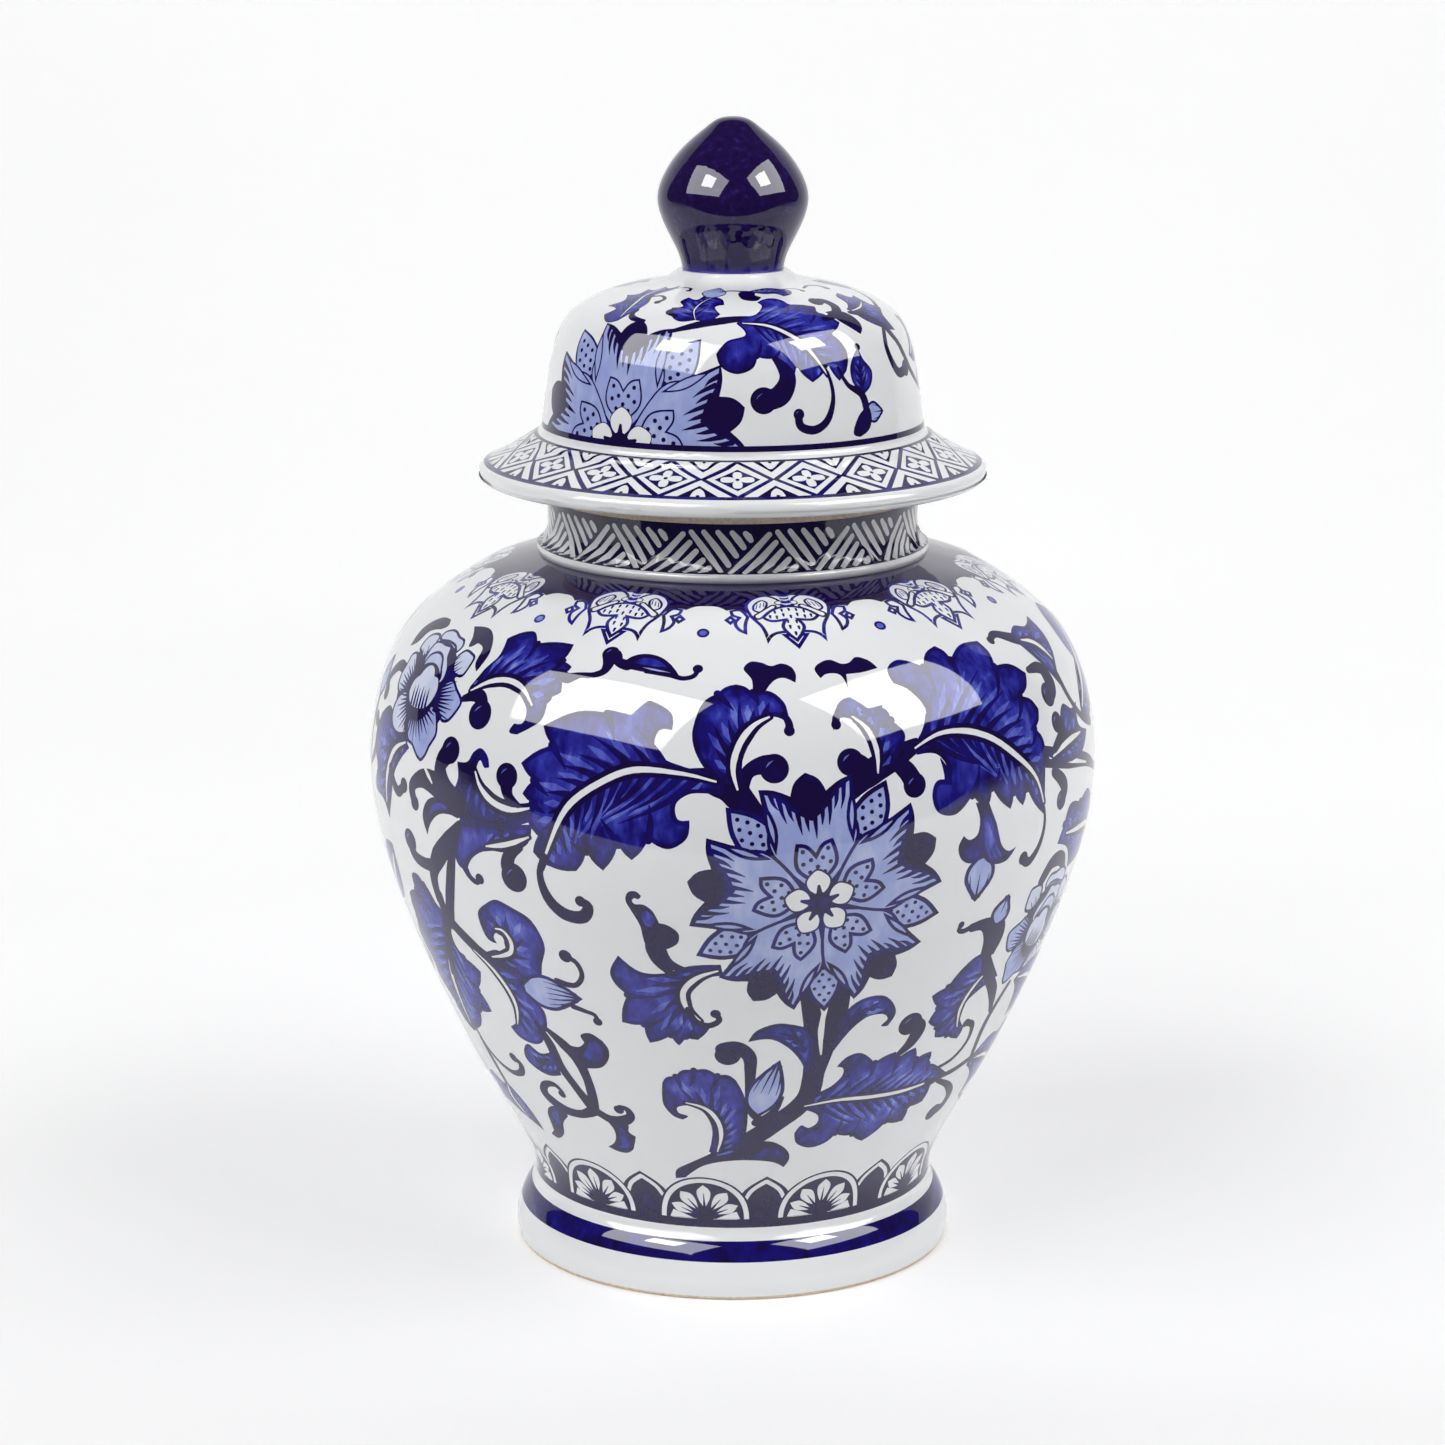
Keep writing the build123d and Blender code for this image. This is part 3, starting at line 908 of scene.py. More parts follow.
def vine_left(art):
    """Stems and leaves on the left of the main flower."""
    art.brush([(-45, 91.6), (-48.6, 88.8), (-52, 85.6), (-54.2, 82.4), (-54.4, 78)],
              (3.0, 3.2, 3.4, 2.2, 2.0))
    art.brush([(-47.6, 88), (-49, 84), (-50.6, 80), (-52.2, 76), (-53, 74)], (1.6, 2.2, 2.2, 2.4))
    art.brush([(-54, 79), (-53.4, 75.4), (-49, 71.5), (-45, 69.3), (-41, 69.5)],
              (2.0, 2.4, 2.6, 2.4, 2.0))
    art.brush([(-53, 76), (-57, 68), (-60, 62)], (2.4, 1.8, 1.2))
    art.curl([(-52.6, 84.4), (-56, 83.8), (-59.4, 84.6), (-60, 86.8)], (2.2, 2.2, 2.4), 1.9)
    art.curl([(-45.6, 86.6), (-44.4, 84.2), (-43, 83.5), (-42.2, 84.2)], (1.8, 1.1, 0.9), 0.9)
    art.curl([(-33.4, 90.8), (-35.4, 89.2), (-36, 87.2), (-35, 85.7)], (1.4, 2.4, 2.8), 2.4)
    art.leaf([[(-45.5, 93), (-38, 93.6), (-31, 94.6)],
              [(-32, 91.4), (-36, 89.9), (-41, 88.8), (-43.6, 87), (-44.8, 85)],
              [(-46.6, 85.6), (-47.2, 87.4), (-46.2, 90), (-45.5, 93)]],
             [(-40, 89.9), (-36, 90.8), (-31.6, 92.6)], 5, rib_width=0.8)
    art.leaf(
        [[(-46.3, 101.8), (-44, 102.2), (-43, 103.8), (-41.6, 104.6), (-40, 103.6), (-39.4, 102)],
         [(-40.4, 101.8), (-41.4, 102.8), (-42, 101), (-40.6, 98.6), (-37, 97.2), (-31, 97.9)],
         [(-31.2, 95)],
         [(-35, 93.6), (-40, 92.8), (-45.3, 92.8)],
         [(-45.2, 96), (-46.4, 97.8)], [(-45.8, 99.4), (-46.3, 101.8)]],
        [(-42.2, 101), (-40.9, 98.8), (-38.4, 97), (-35, 96.3), (-31.4, 97)], 7, cobalt=DEEP)
    art.curl([(-33.6, 97.2), (-35.4, 98.4), (-35.9, 101.2)], (1.0, 2.0, 3.0), 2.0)
    art.patch([(-45, 95.2), (-50, 95.7), (-53.3, 94.6), (-54.8, 92), (-53.9, 89)],
              [(-52.6, 91.2), (-50, 93.1), (-45, 93.4)])
    art.patch([(-49.4, 94.8), (-51.8, 94.2), (-52.8, 92.4)],
              [(-50.6, 93.7), (-47.4, 94.3), (-49.4, 94.8)], cobalt=WASH)
    art.curl([(-46, 95.6), (-51, 97.4), (-55, 97.6), (-57.8, 95.8), (-57, 93.4)],
             (3.4, 4.4, 3.4, 2.2, 1.8), 1.2)
    art.curl([(-46, 95.4), (-49, 97.4), (-50.2, 100.4), (-48.2, 103.2)], (4.4, 3.8, 2.8, 3.6), 2.1)
    art.brush([(-54.4, 99.5), (-52, 97.4)], (0.5, 0.7, 0.3), WHITE)
    art.leaf([[(-47.5, 113.5), (-46, 117), (-44.5, 120), (-45.5, 123.8)],
              [(-43, 125.9), (-40.5, 126.5), (-38, 124)],
              *lobes([(-38, 124), (-30.3, 124.9), (-30.7, 121), (-28.5, 120), (-29.7, 118),
                      (-28.8, 115.2), (-30.8, 114)], 0.06), [(-31, 110.5), (-33, 108.8), (-35, 107.6)],
              [(-36.6, 107.8), (-36, 109.2)],
              [(-34.4, 109.5), (-34.2, 111.5), (-37, 114.2), (-40, 114.8), (-44, 114), (-47.5, 112.5)]],
             [(-47, 112.9), (-43, 115.3), (-39.5, 115.9), (-36.3, 115), (-33.4, 112.4)], 8)
    art.curl([(-48, 111.4), (-44.5, 112.3), (-43.3, 109.6)], (1.2, 2.4, 3.6), 2.4)
    art.patch([(-56.6, 124.5), (-52, 125), (-49, 123.3), (-47, 119.8), (-47.6, 116.2)],
              [(-48.9, 117.6), (-49.5, 120.6), (-51.6, 121.4)],
              [(-53.2, 120.2), (-54.4, 122.4), (-56.6, 124.5)])
    art.brush([(-30, 118.6), (-28.6, 117.8), (-26.5, 118.6), (-24, 118.9), (-22.4, 119.8), (-22, 121.5),
               (-22.5, 123.6)], (1.8, 2.0, 1.1, 1.1, 1.4, 2.2, 2.8))
    art.curl([(-18.4, 121.4), (-20.2, 122), (-21.2, 123.4), (-22.3, 123.7)], (2.2, 1.8, 2.6), 1.6)
    art.patch([(-19.6, 121), (-18.6, 123), (-16.4, 124.1), (-13.4, 123.8), (-11, 122.2), (-9, 119.6)],
              [(-12, 120), (-16, 120.3), (-19.6, 121)])
    art.patch([(-17.6, 122), (-16, 123.2), (-13.4, 122.9), (-11.4, 121.4)],
              [(-14, 121.5), (-17.6, 122)], cobalt=WASH, pooled=0.1)
    art.patch([(-15.8, 121.2), (-13, 120.9), (-10.6, 120.3)], [(-13, 120.5), (-15.8, 121.2)],
              cobalt=PALE)
    art.curl([(-15, 120.2), (-11, 119.9), (-8.4, 119.3), (-6.6, 119.9), (-6.1, 121.3)],
             (0.5, 0.9, 0.9, 0.9), 0.9)
    art.leaf([[(-44.3, 75), (-44.3, 78), (-42, 80), (-39.5, 81.2), (-36.5, 80.4), (-33.3, 79),
               (-31.8, 76.5), (-31.4, 74), (-32.8, 70.5), (-33.6, 67.6)],
              [(-37, 66.6), (-42, 68.6), (-46.5, 69.6)],
              [(-42.6, 71.4), (-40.4, 71.4), (-39.3, 73), (-39.8, 74.6), (-41.2, 74.9), (-42, 73.9),
               (-41.6, 72.8)], [(-43.5, 73.2), (-44.3, 75)]],
             [(-44, 69.7), (-41, 70.6), (-38.9, 71.8), (-38.3, 73.8), (-39.4, 75.6), (-41.2, 75.7)], 6,
             rib_width=0.8)
    art.leaf(
        [[(-49, 70.3), (-45, 67.4), (-42.8, 64), (-42.2, 60), (-43, 56.5), (-45.8, 54.3)],
         [(-44.5, 52.3), (-41, 51.4), (-38.5, 52.3), (-37, 54.5)],
         [(-35.6, 57), (-35.2, 60), (-36.4, 62.4), (-38, 65), (-37.6, 67.6), (-42, 68.6), (-49, 70.3)]],
        [(-48.6, 70), (-44.6, 66.8), (-42.3, 62.6), (-42, 59.5), (-43.4, 55.4)], 7, rib_width=0.8)
    art.bud((-38.8, 64.6), (-26.2, 64.6), 7.4, 5)
    art.curl([(-30.5, 67.6), (-27, 67.4), (-25.4, 69.6), (-26, 72), (-27.8, 73)], (1.4, 1.0, 0.9, 1.0),
             1.2)
    art.curl([(-28.5, 62.6), (-26.4, 62), (-24.6, 61.4), (-24.3, 60)], (1.2, 0.9, 0.9), 0.9)
    art.brush([(-38, 57), (-36.6, 53), (-35.6, 47), (-33.6, 42), (-31.6, 37.5)],
              (1.2, 2.4, 2.2, 2.2, 2.8))
    art.brush([(-36.4, 56.4), (-33.5, 53.5), (-31, 50), (-30, 45), (-30.2, 40), (-31.2, 36)],
              (1.0, 2.6, 2.6, 2.2, 2.4, 3.0))
    art.patch([(-32.4, 53.4), (-29.8, 53.2), (-28.2, 54.5)],
              [(-28.6, 56.2), (-26.5, 57), (-24.3, 55.6)],
              [(-23.4, 53.6), (-24, 51), (-26, 48.8), (-30, 48)])
    art.patch([(-29.4, 50.8), (-27.6, 54), (-26.2, 55.4), (-24.8, 54), (-25.2, 51.4), (-27.4, 49.4)],
              cobalt=WASH, pooled=0.1)
    art.leaf([[(-36, 51), (-40, 49.4), (-42.6, 51), (-44.6, 49)],
              [(-45, 46.6), (-43, 44.6), (-40, 43.7), (-36.4, 44.6)], [(-36, 51)]],
             [(-37, 48), (-39.5, 47), (-42, 47.2)], 4, rib_width=0.25)
    art.brush([(-31, 36), (-35, 34), (-39, 34), (-42, 35.5), (-43.8, 38), (-42.4, 40.6), (-39.5, 41.3),
               (-38, 39.6)], (3.0, 2.4, 2.6, 3.2, 3.0, 2.0, 1.6, 1.0))
    art.disc((-38.4, 38.9), 1.0)
    art.patch([(-40, 34.8), (-44.5, 33.6), (-46.6, 31), (-47.4, 27.6), (-48, 25)], [(-50, 23.2)],
              [(-48.2, 22.4), (-46, 23.4), (-44, 25.5), (-42.5, 29), (-39.6, 32)])
    art.patch([(-42.6, 33), (-45.4, 30.6), (-46.4, 26.6)], [(-44.4, 27.6), (-43, 30.6), (-42.6, 33)],
              cobalt=WASH, pooled=0.1)
    art.brush([(-31, 36.4), (-27, 34), (-24, 34.5), (-22.2, 36.2), (-22.6, 38), (-24.2, 38.6)],
              (2.4, 2.4, 3.0, 2.8, 1.8, 1.0))
    art.disc((-24.6, 37.6), 1.2)
    art.patch([(-29.4, 35), (-27.5, 31), (-27.8, 28), (-29, 26), (-31, 24.5)],
              [(-28.6, 23.4), (-26, 23.4), (-24, 25)], [(-23, 27.6), (-22.4, 29.6)],
              [(-23.8, 31), (-23.4, 33), (-26, 35)])
    art.patch([(-26.2, 32.4), (-26.6, 28.6), (-28.2, 25.2)],
              [(-25.6, 25), (-24.4, 28), (-24.6, 31), (-26.2, 32.4)], cobalt=WASH, pooled=0.1)


def vine_edge(art):
    """Leaves at the far left of the front, which meet the right edge of the repeat behind them."""
    art.leaf([[(-53, 75), (-54, 70), (-52.5, 67.5)],
              *lobes([(-52.5, 67.5), (-48.7, 65.5), (-51.8, 61), (-50.2, 56.5), (-54.6, 55.6),
                      (-57.5, 51)], 0.07), [(-63, 48)], [(-66, 50), (-67, 55)],
              *lobes([(-67, 55), (-70.5, 58.5), (-69, 62), (-71, 67), (-68, 71), (-67, 76),
                      (-63, 77.5)], 0.07), [(-62.5, 80.5), (-60, 81), (-58.6, 79.6)],
              [(-56.6, 77.4), (-53, 75)]], [(-53.5, 74), (-57, 68), (-60.5, 62), (-62, 57), (-63, 50)],
             10)
    art.curl([(-61, 50), (-59.6, 45), (-56.6, 42), (-52.6, 40.8), (-49, 42), (-48, 44.4),
              (-49.6, 45.6)], (0.9, 1.0, 1.2, 1.4, 1.8, 1.4), 1.2)
    art.brush([(-60.6, 47), (-60, 41), (-59.5, 35)], (1.4, 1.8, 1.6))
    art.leaf([[(-59, 36), (-62, 35), (-66, 37), (-70, 35)], [(-68, 32)], [(-70.5, 28)],
              [(-65, 27), (-60, 26), (-55, 24), (-53, 23)], [(-54, 29), (-56, 33), (-59, 36)]],
             [(-59.5, 35), (-61, 31), (-58, 26)], 6)
    art.leaf([[(-62, 103), (-66, 104), (-70, 106), (-74, 104)], [(-76, 99), (-73, 96)],
              [(-75, 92), (-70, 91), (-68, 88.5)], [(-66, 92), (-64, 97), (-59.6, 101.4)],
              [(-62, 103)]], [(-61, 102), (-65, 100), (-67.5, 96), (-68.5, 91)], 7)
    art.patch([(-66, 124), (-70, 123.4), (-73.4, 120), (-73, 116)],
              [(-70.6, 117.4), (-69.4, 120), (-66, 121.4)], [(-64.6, 122.6), (-66, 124)])
    art.curl([(-68, 112), (-72.5, 112.4), (-75.5, 109.6), (-74.6, 107.4)], (1.6, 2.2, 1.8), 1.4)
    art.curl([(-66, 97), (-63, 94), (-60.6, 95.4)], (1.6, 1.8, 1.6), 1.2)


def vine_top(art):
    """Stems and leaves above the main flower, and the long leaf to its left."""
    art.brush([(-6, 103.6), (-1, 102.3), (1, 100.4), (3.5, 98)], (2.6, 4.4, 4.2, 2.6))
    art.brush([(17, 100.4), (20, 103), (24, 105), (28.6, 106.8)], (2.4, 4.0, 3.8, 2.2))
    art.curl([(1.4, 101.6), (2.2, 104.4), (5, 105.4), (6, 104.8)], (1.6, 2.2, 3.4), 2.2)
    art.curl([(20.6, 102.4), (19.6, 104.4), (17.6, 105.2)], (2.0, 2.8, 3.4), 2.1)
    art.curl([(24.4, 105), (26.6, 103), (27.7, 100.9)], (2.4, 3.0, 3.2), 1.9)
    art.leaf(
        [[(-1.6, 102.6), (-4.8, 105.5), (-6.3, 109.5), (-5.4, 114)],
         *lobes([(-5.4, 114), (-2.6, 116.6), (0.4, 118.3), (3, 116.8)], 0.12),
         [(5.8, 117), (8, 115), (8.7, 112), (9.4, 109.8)],
         [(7.4, 112.3), (5, 112.6), (2.4, 110.4), (1.4, 107), (1.3, 102.6)]],
        [(0.6, 101.7), (-0.1, 105), (0.9, 108.6), (3, 111.3), (5.6, 112.7)], 7)
    art.curl([(7.8, 113), (8.5, 111.6), (8.5, 110.4)], (1.0, 1.2, 1.4), 0.85)
    art.leaf(
        [[(22.6, 103), (25.2, 105.5), (27, 108.5), (25, 111)],
         *lobes([(25, 111), (23.4, 113.4), (21, 113.8), (19.4, 115.4)], -0.2),
         [(17.2, 114.8), (15.8, 112.8), (15.3, 110)],
         [(16.8, 112), (19, 111.4), (20.6, 109.5), (21.3, 106), (21.2, 103.4)]],
        [(21.8, 103.2), (21.9, 107), (20.8, 110), (18.6, 112.2)], 5, rib_width=0.8)
    art.curl([(16.6, 113), (16, 112), (15.9, 111)], (1.0, 1.2, 1.3), 0.8)
    left_cap = outline([(3, 116.6), (3, 119.2), (1.7, 121.4), (2.9, 122.9), (4.8, 122.7), (6.4, 121.9),
                        (8.3, 122.4), (9.9, 121.6), (10.5, 120), (10.2, 118.4)],
                       [(8.3, 119.4), (6.8, 119), (5, 116.8)], [(3, 116.6)])
    right_cap = outline([(14.6, 119), (13.9, 121), (15.3, 122.3), (17.1, 122.7), (18.9, 121.7),
                         (20.3, 121.8), (21.9, 122.9), (24, 122), (25.2, 120.2)],
                        [(22, 119.6), (19.2, 119.5)], [(18.9, 116.8)],
                        [(18, 119.5), (15.8, 119.8), (14.6, 119)])
    art.fill(left_cap, DARK)
    art.fill(right_cap, DARK)
    art.leaf([[(-4.8, 104.5), (-8, 105.2), (-11, 106.5), (-12, 108.5), (-11.3, 110.4), (-9.4, 110.5)],
              [(-9.8, 113.2), (-15.5, 115.3), (-20, 112.6)], [(-25, 112.4), (-30.5, 109.5)],
              *lobes([(-30.5, 109.5), (-28.5, 106.8), (-33.5, 103.5), (-31, 101.2), (-32.8, 99),
                      (-31, 97.8), (-31.9, 95.2), (-30, 93), (-31, 90.4), (-28.6, 88.6)], -0.06),
              *lobes([(-28.6, 88.6), (-23.8, 88.3), (-22, 91.5), (-19.5, 88.8), (-17, 93), (-15, 90.8),
                      (-12.5, 94)], -0.07), [(-9.5, 92.8), (-6.8, 94.5), (-6.4, 97.2)],
              [(-8.1, 97.3), (-8.4, 99.5), (-6.5, 101), (-4, 101.2), (-1.5, 101)],
              [(-1.5, 103), (-4.8, 104.5)]],
             [(-2.5, 102.9), (-7.5, 104), (-15, 104.2), (-20, 102), (-25, 98), (-28.5, 91),
              (-29.8, 88)], 13)
    art.curl([(-29, 90), (-30.1, 87), (-29, 83), (-26.4, 80.8), (-23.4, 80.8), (-22.4, 82.6),
              (-23.6, 83.4)], (1.0, 1.2, 1.8, 2.2, 2.2, 1.4), 0.9)
    art.leaf([[(28.5, 107), (30.5, 109.5), (31.5, 112), (29.5, 115.5), (27, 117)],
              [(26.9, 119.8), (29.5, 121.4), (34, 119.4)],
              *lobes([(34, 119.4), (38.7, 123.2), (40.4, 120), (49.3, 122.4), (49.4, 117),
                      (56.5, 114.3), (52.5, 111), (56.3, 108.3), (54, 105.5), (56, 102)], 0.14),
              [(55, 97), (55, 92)],
              *lobes([(55, 92), (50, 97), (49, 94.6), (46.8, 97), (46, 94.6), (42, 98.5), (41, 95.6),
                      (38, 98)], 0.07),
              [(34.6, 95.6), (31.5, 96.4), (30.6, 99), (31.5, 101), (33.6, 101)],
              [(33.6, 103), (32, 105), (28.5, 105.3)]],
             [(28.3, 106.3), (33, 108), (38, 107.8), (43, 106), (48, 102.5), (52.5, 98.4), (54.6, 94)],
             13)
    art.curl([(54.9, 93), (55.3, 90), (54.2, 86.8), (52, 85), (50.4, 86)], (0.6, 0.9, 1.4, 1.8), 1.1)
    art.bud((40.6, 88.6), (40.4, 80.6), 6.2, 3)
    calyx = outline([(38.6, 96.8), (39.5, 93.8), (39, 91.8), (37.6, 91.3), (36.4, 92.1)],
                    [(35.5, 90.4), (36.2, 88.5), (38, 87.5), (40.8, 87.9)],
                    [(42, 86.9), (44, 86.3), (46.3, 86.6), (48.1, 88.4)],
                    [(46.4, 88), (44.6, 89.2), (43, 93), (41.2, 96.6)])
    art.shape(calyx, DEEP)
    for low in (42.4, 43.6, 44.8):
        art.brush([(40.6 + (low - 42.4) * 0.2, 93.6), (41.2 + (low - 42.4) * 0.6, 90), (low, 87.4)],
                  (0.2, 0.8, 0.3), WASH)


def vine_low(art):
    """The thick stem under the main flower with its leaves and bud."""
    art.brush([(12.5, 67), (14, 60), (14.8, 54), (15.4, 48), (15, 43), (13, 39.5), (10, 36.5),
               (6, 32.5), (1, 28.5), (-3, 26)], (3.0, 3.6, 4.4, 4.8, 5.0, 4.6))
    art.brush([(18, 67), (17.8, 60), (16.8, 54), (16, 46)], (3.6, 4.0, 3.2, 2.4))
    art.brush([(15.6, 65), (15.5, 59), (16.2, 53.5)], (0.6, 1.2, 0.4), WHITE)
    art.leaf([[(2.6, 57.3), (4, 59.8), (7.5, 61.3), (10, 61), (13, 60)], [(14.4, 56), (14, 49)],
              [(12, 53), (9.5, 56), (6.5, 57.8), (2.6, 57.3)]], [(13, 54), (11.4, 57.4), (8, 59.2)], 4,
             rib_width=0.25)
    art.leaf([[(18.5, 60), (20, 63.6), (22.6, 65.4), (26, 65.4), (28.3, 63.5), (29.4, 61),
               (28.4, 58.4)], [(27, 58.6), (28, 60), (27, 61.2), (24, 61.2), (21.4, 59), (18.5, 54)],
              [(18.5, 60)]], [(19.6, 58.6), (21.8, 62.4), (25.6, 63)], 5, rib_width=0.25)
    keel = outline([(-14.6, 16.2), (-14, 19.4), (-10, 22.5), (-5.6, 25.6)],
                   [(2, 29), (8, 29.9), (11, 28.2), (13, 25.6), (13.4, 23), (12.4, 20.5)],
                   [(10, 22.3), (7, 23.2), (2, 23.6), (-3, 23), (-7, 21.5), (-10, 19), (-12, 16.8)],
                   [(-14.6, 16.2)])
    art.fill(keel, DARK)
    art.patch([(5.4, 24.6), (6.6, 27), (9, 27.6), (11, 26.4), (11.8, 24)], [(8.6, 24.4), (5.4, 24.6)],
              cobalt=WASH, pooled=0.2)
    art.brush([(-3.6, 25.4), (-1, 26.4), (1, 28.4)], (0.4, 0.8, 0.3), SOFT)
    art.leaf([[(0.6, 27), (2.4, 31), (3, 36), (2.8, 41), (1.8, 45), (0.5, 48)],
              *lobes([(0.5, 48), (-3, 49.2), (-7.4, 50.4), (-11, 48.6), (-13.8, 46.6)], -0.2),
              [(-14.2, 43.5), (-14.2, 40.5), (-12.5, 37.5), (-10.6, 36.6)],
              [(-9.4, 37.7), (-11.3, 38.6), (-11.5, 40), (-9.5, 40.8), (-7, 40), (-5.3, 37.5),
               (-4.5, 34), (-4.8, 30), (-5.6, 26.4)], [(0.6, 27)]],
             [(-3.6, 26.5), (-2.6, 32), (-3.2, 36.4), (-5.5, 40), (-9.6, 41.6)], 9)
    art.brush([(3, 44), (3.2, 50), (2.8, 54), (0.6, 56), (-1.8, 55.6)], (1.4, 2.0, 2.4, 2.8, 3.0))
    art.disc((-1, 54.2), 2.4)
    art.bud((4.4, 38), (8.6, 52.8), 7.2, 4)
    art.brush([(6.6, 36), (4, 38.6), (2.4, 42)], (2.4, 1.6, 0.8))
    art.brush([(5, 36), (8, 38.6), (9.8, 43)], (2.4, 1.8, 0.8))
    art.curl([(33, 51), (35, 53.4), (35.6, 56.4), (33.4, 57.8)], (1.6, 2.8, 3.4, 3.6), 2.5)
    art.leaf([[(14.6, 41), (16.8, 43.4), (19.5, 45), (21.4, 47.6), (21.2, 49.4), (19.8, 50)],
              [(21.5, 52.2), (24, 52.8), (27.8, 49.8)],
              *lobes([(27.8, 49.8), (32, 51.6), (33, 49.8), (36.6, 51.6), (37.8, 48.6), (41.5, 49.5),
                      (42, 46.2), (45.2, 44.8)], 0.07), [(50, 41.6)],
              *lobes([(50, 41.6), (46, 39.4), (45.8, 34.8), (41.6, 34.4), (42, 30), (36.4, 31),
                      (31.5, 26.3), (28, 29), (23.5, 30.3)], 0.07),
              [(21.5, 27.8), (18, 26.7), (14.6, 28.4), (13.5, 32)],
              [(14.8, 34.4), (16.5, 33.4), (18.2, 34.7), (18, 37), (15, 39)]],
             [(14.6, 40.1), (22, 40.9), (30, 40.3), (38, 40.1), (48, 41.2)], 12)
    art.curl([(45, 44), (50, 45.6), (52.4, 49), (51.6, 53), (49, 54.2)], (1.0, 1.2, 1.2, 1.6), 1.0)
    art.brush([(44, 40.8), (52, 41.4), (60, 43), (68, 42)], (1.2, 1.6, 1.8, 1.2))
    art.curl([(48, 40), (54, 36.6), (57, 33), (56.6, 30), (53.4, 29)], (1.2, 1.8, 2.6, 3.6), 2.4)
    art.leaf([[(-2, 73.6), (-7, 73.2), (-11, 71.6), (-15, 71.6), (-18.4, 74.4)],
              [(-20.2, 71), (-19.8, 69), (-17.8, 66.6)],
              *lobes([(-17.8, 66.6), (-19.6, 60.6), (-15.6, 60.4), (-15, 56.4), (-11, 58.4),
                      (-9.7, 56.2), (-8.4, 58.2), (-6.2, 57.7), (-3.8, 61)], -0.06),
              [(-6.4, 62.4), (-8.2, 66), (-6.6, 69.6), (-3.6, 71.2), (-1.6, 71.4)], [(-2, 73.6)]],
             [(-2.4, 72.4), (-6, 70.8), (-8.2, 68), (-7.8, 64.6), (-5.6, 62)], 9)
    art.curl([(-7.6, 64.4), (-6.4, 61.8), (-4.2, 61), (-2.4, 62.2), (-3, 63.6)], (1.2, 1.3, 1.2, 1.0),
             0.9)
    art.curl([(-10, 71.6), (-12.4, 74.6), (-12.6, 77), (-10.6, 78.4)], (1.2, 1.8, 2.8), 2.1)
    hook = outline([(-11, 71.8), (-13, 75), (-13.9, 77.5), (-14.3, 80.2), (-15.5, 82.6), (-16.3, 84.4),
                    (-15.8, 85.7), (-14.6, 85.9), (-13.8, 85.2)],
                   [(-14.3, 84.6), (-14.9, 84.8), (-15.3, 84.3)],
                   [(-14.9, 83.8), (-13.6, 83.8), (-12.3, 82.9), (-11.3, 80.8)],
                   [(-9.8, 80.4), (-8.4, 79.1), (-8.6, 77.4), (-10.4, 76.2)],
                   [(-9.6, 74.2), (-7.4, 72.8)])
    art.fill(hook, DARK)
    art.patch([(-13.4, 80.2), (-14, 82.2), (-13, 82.8)], [(-12, 81.6), (-12.6, 80)], cobalt=WASH)


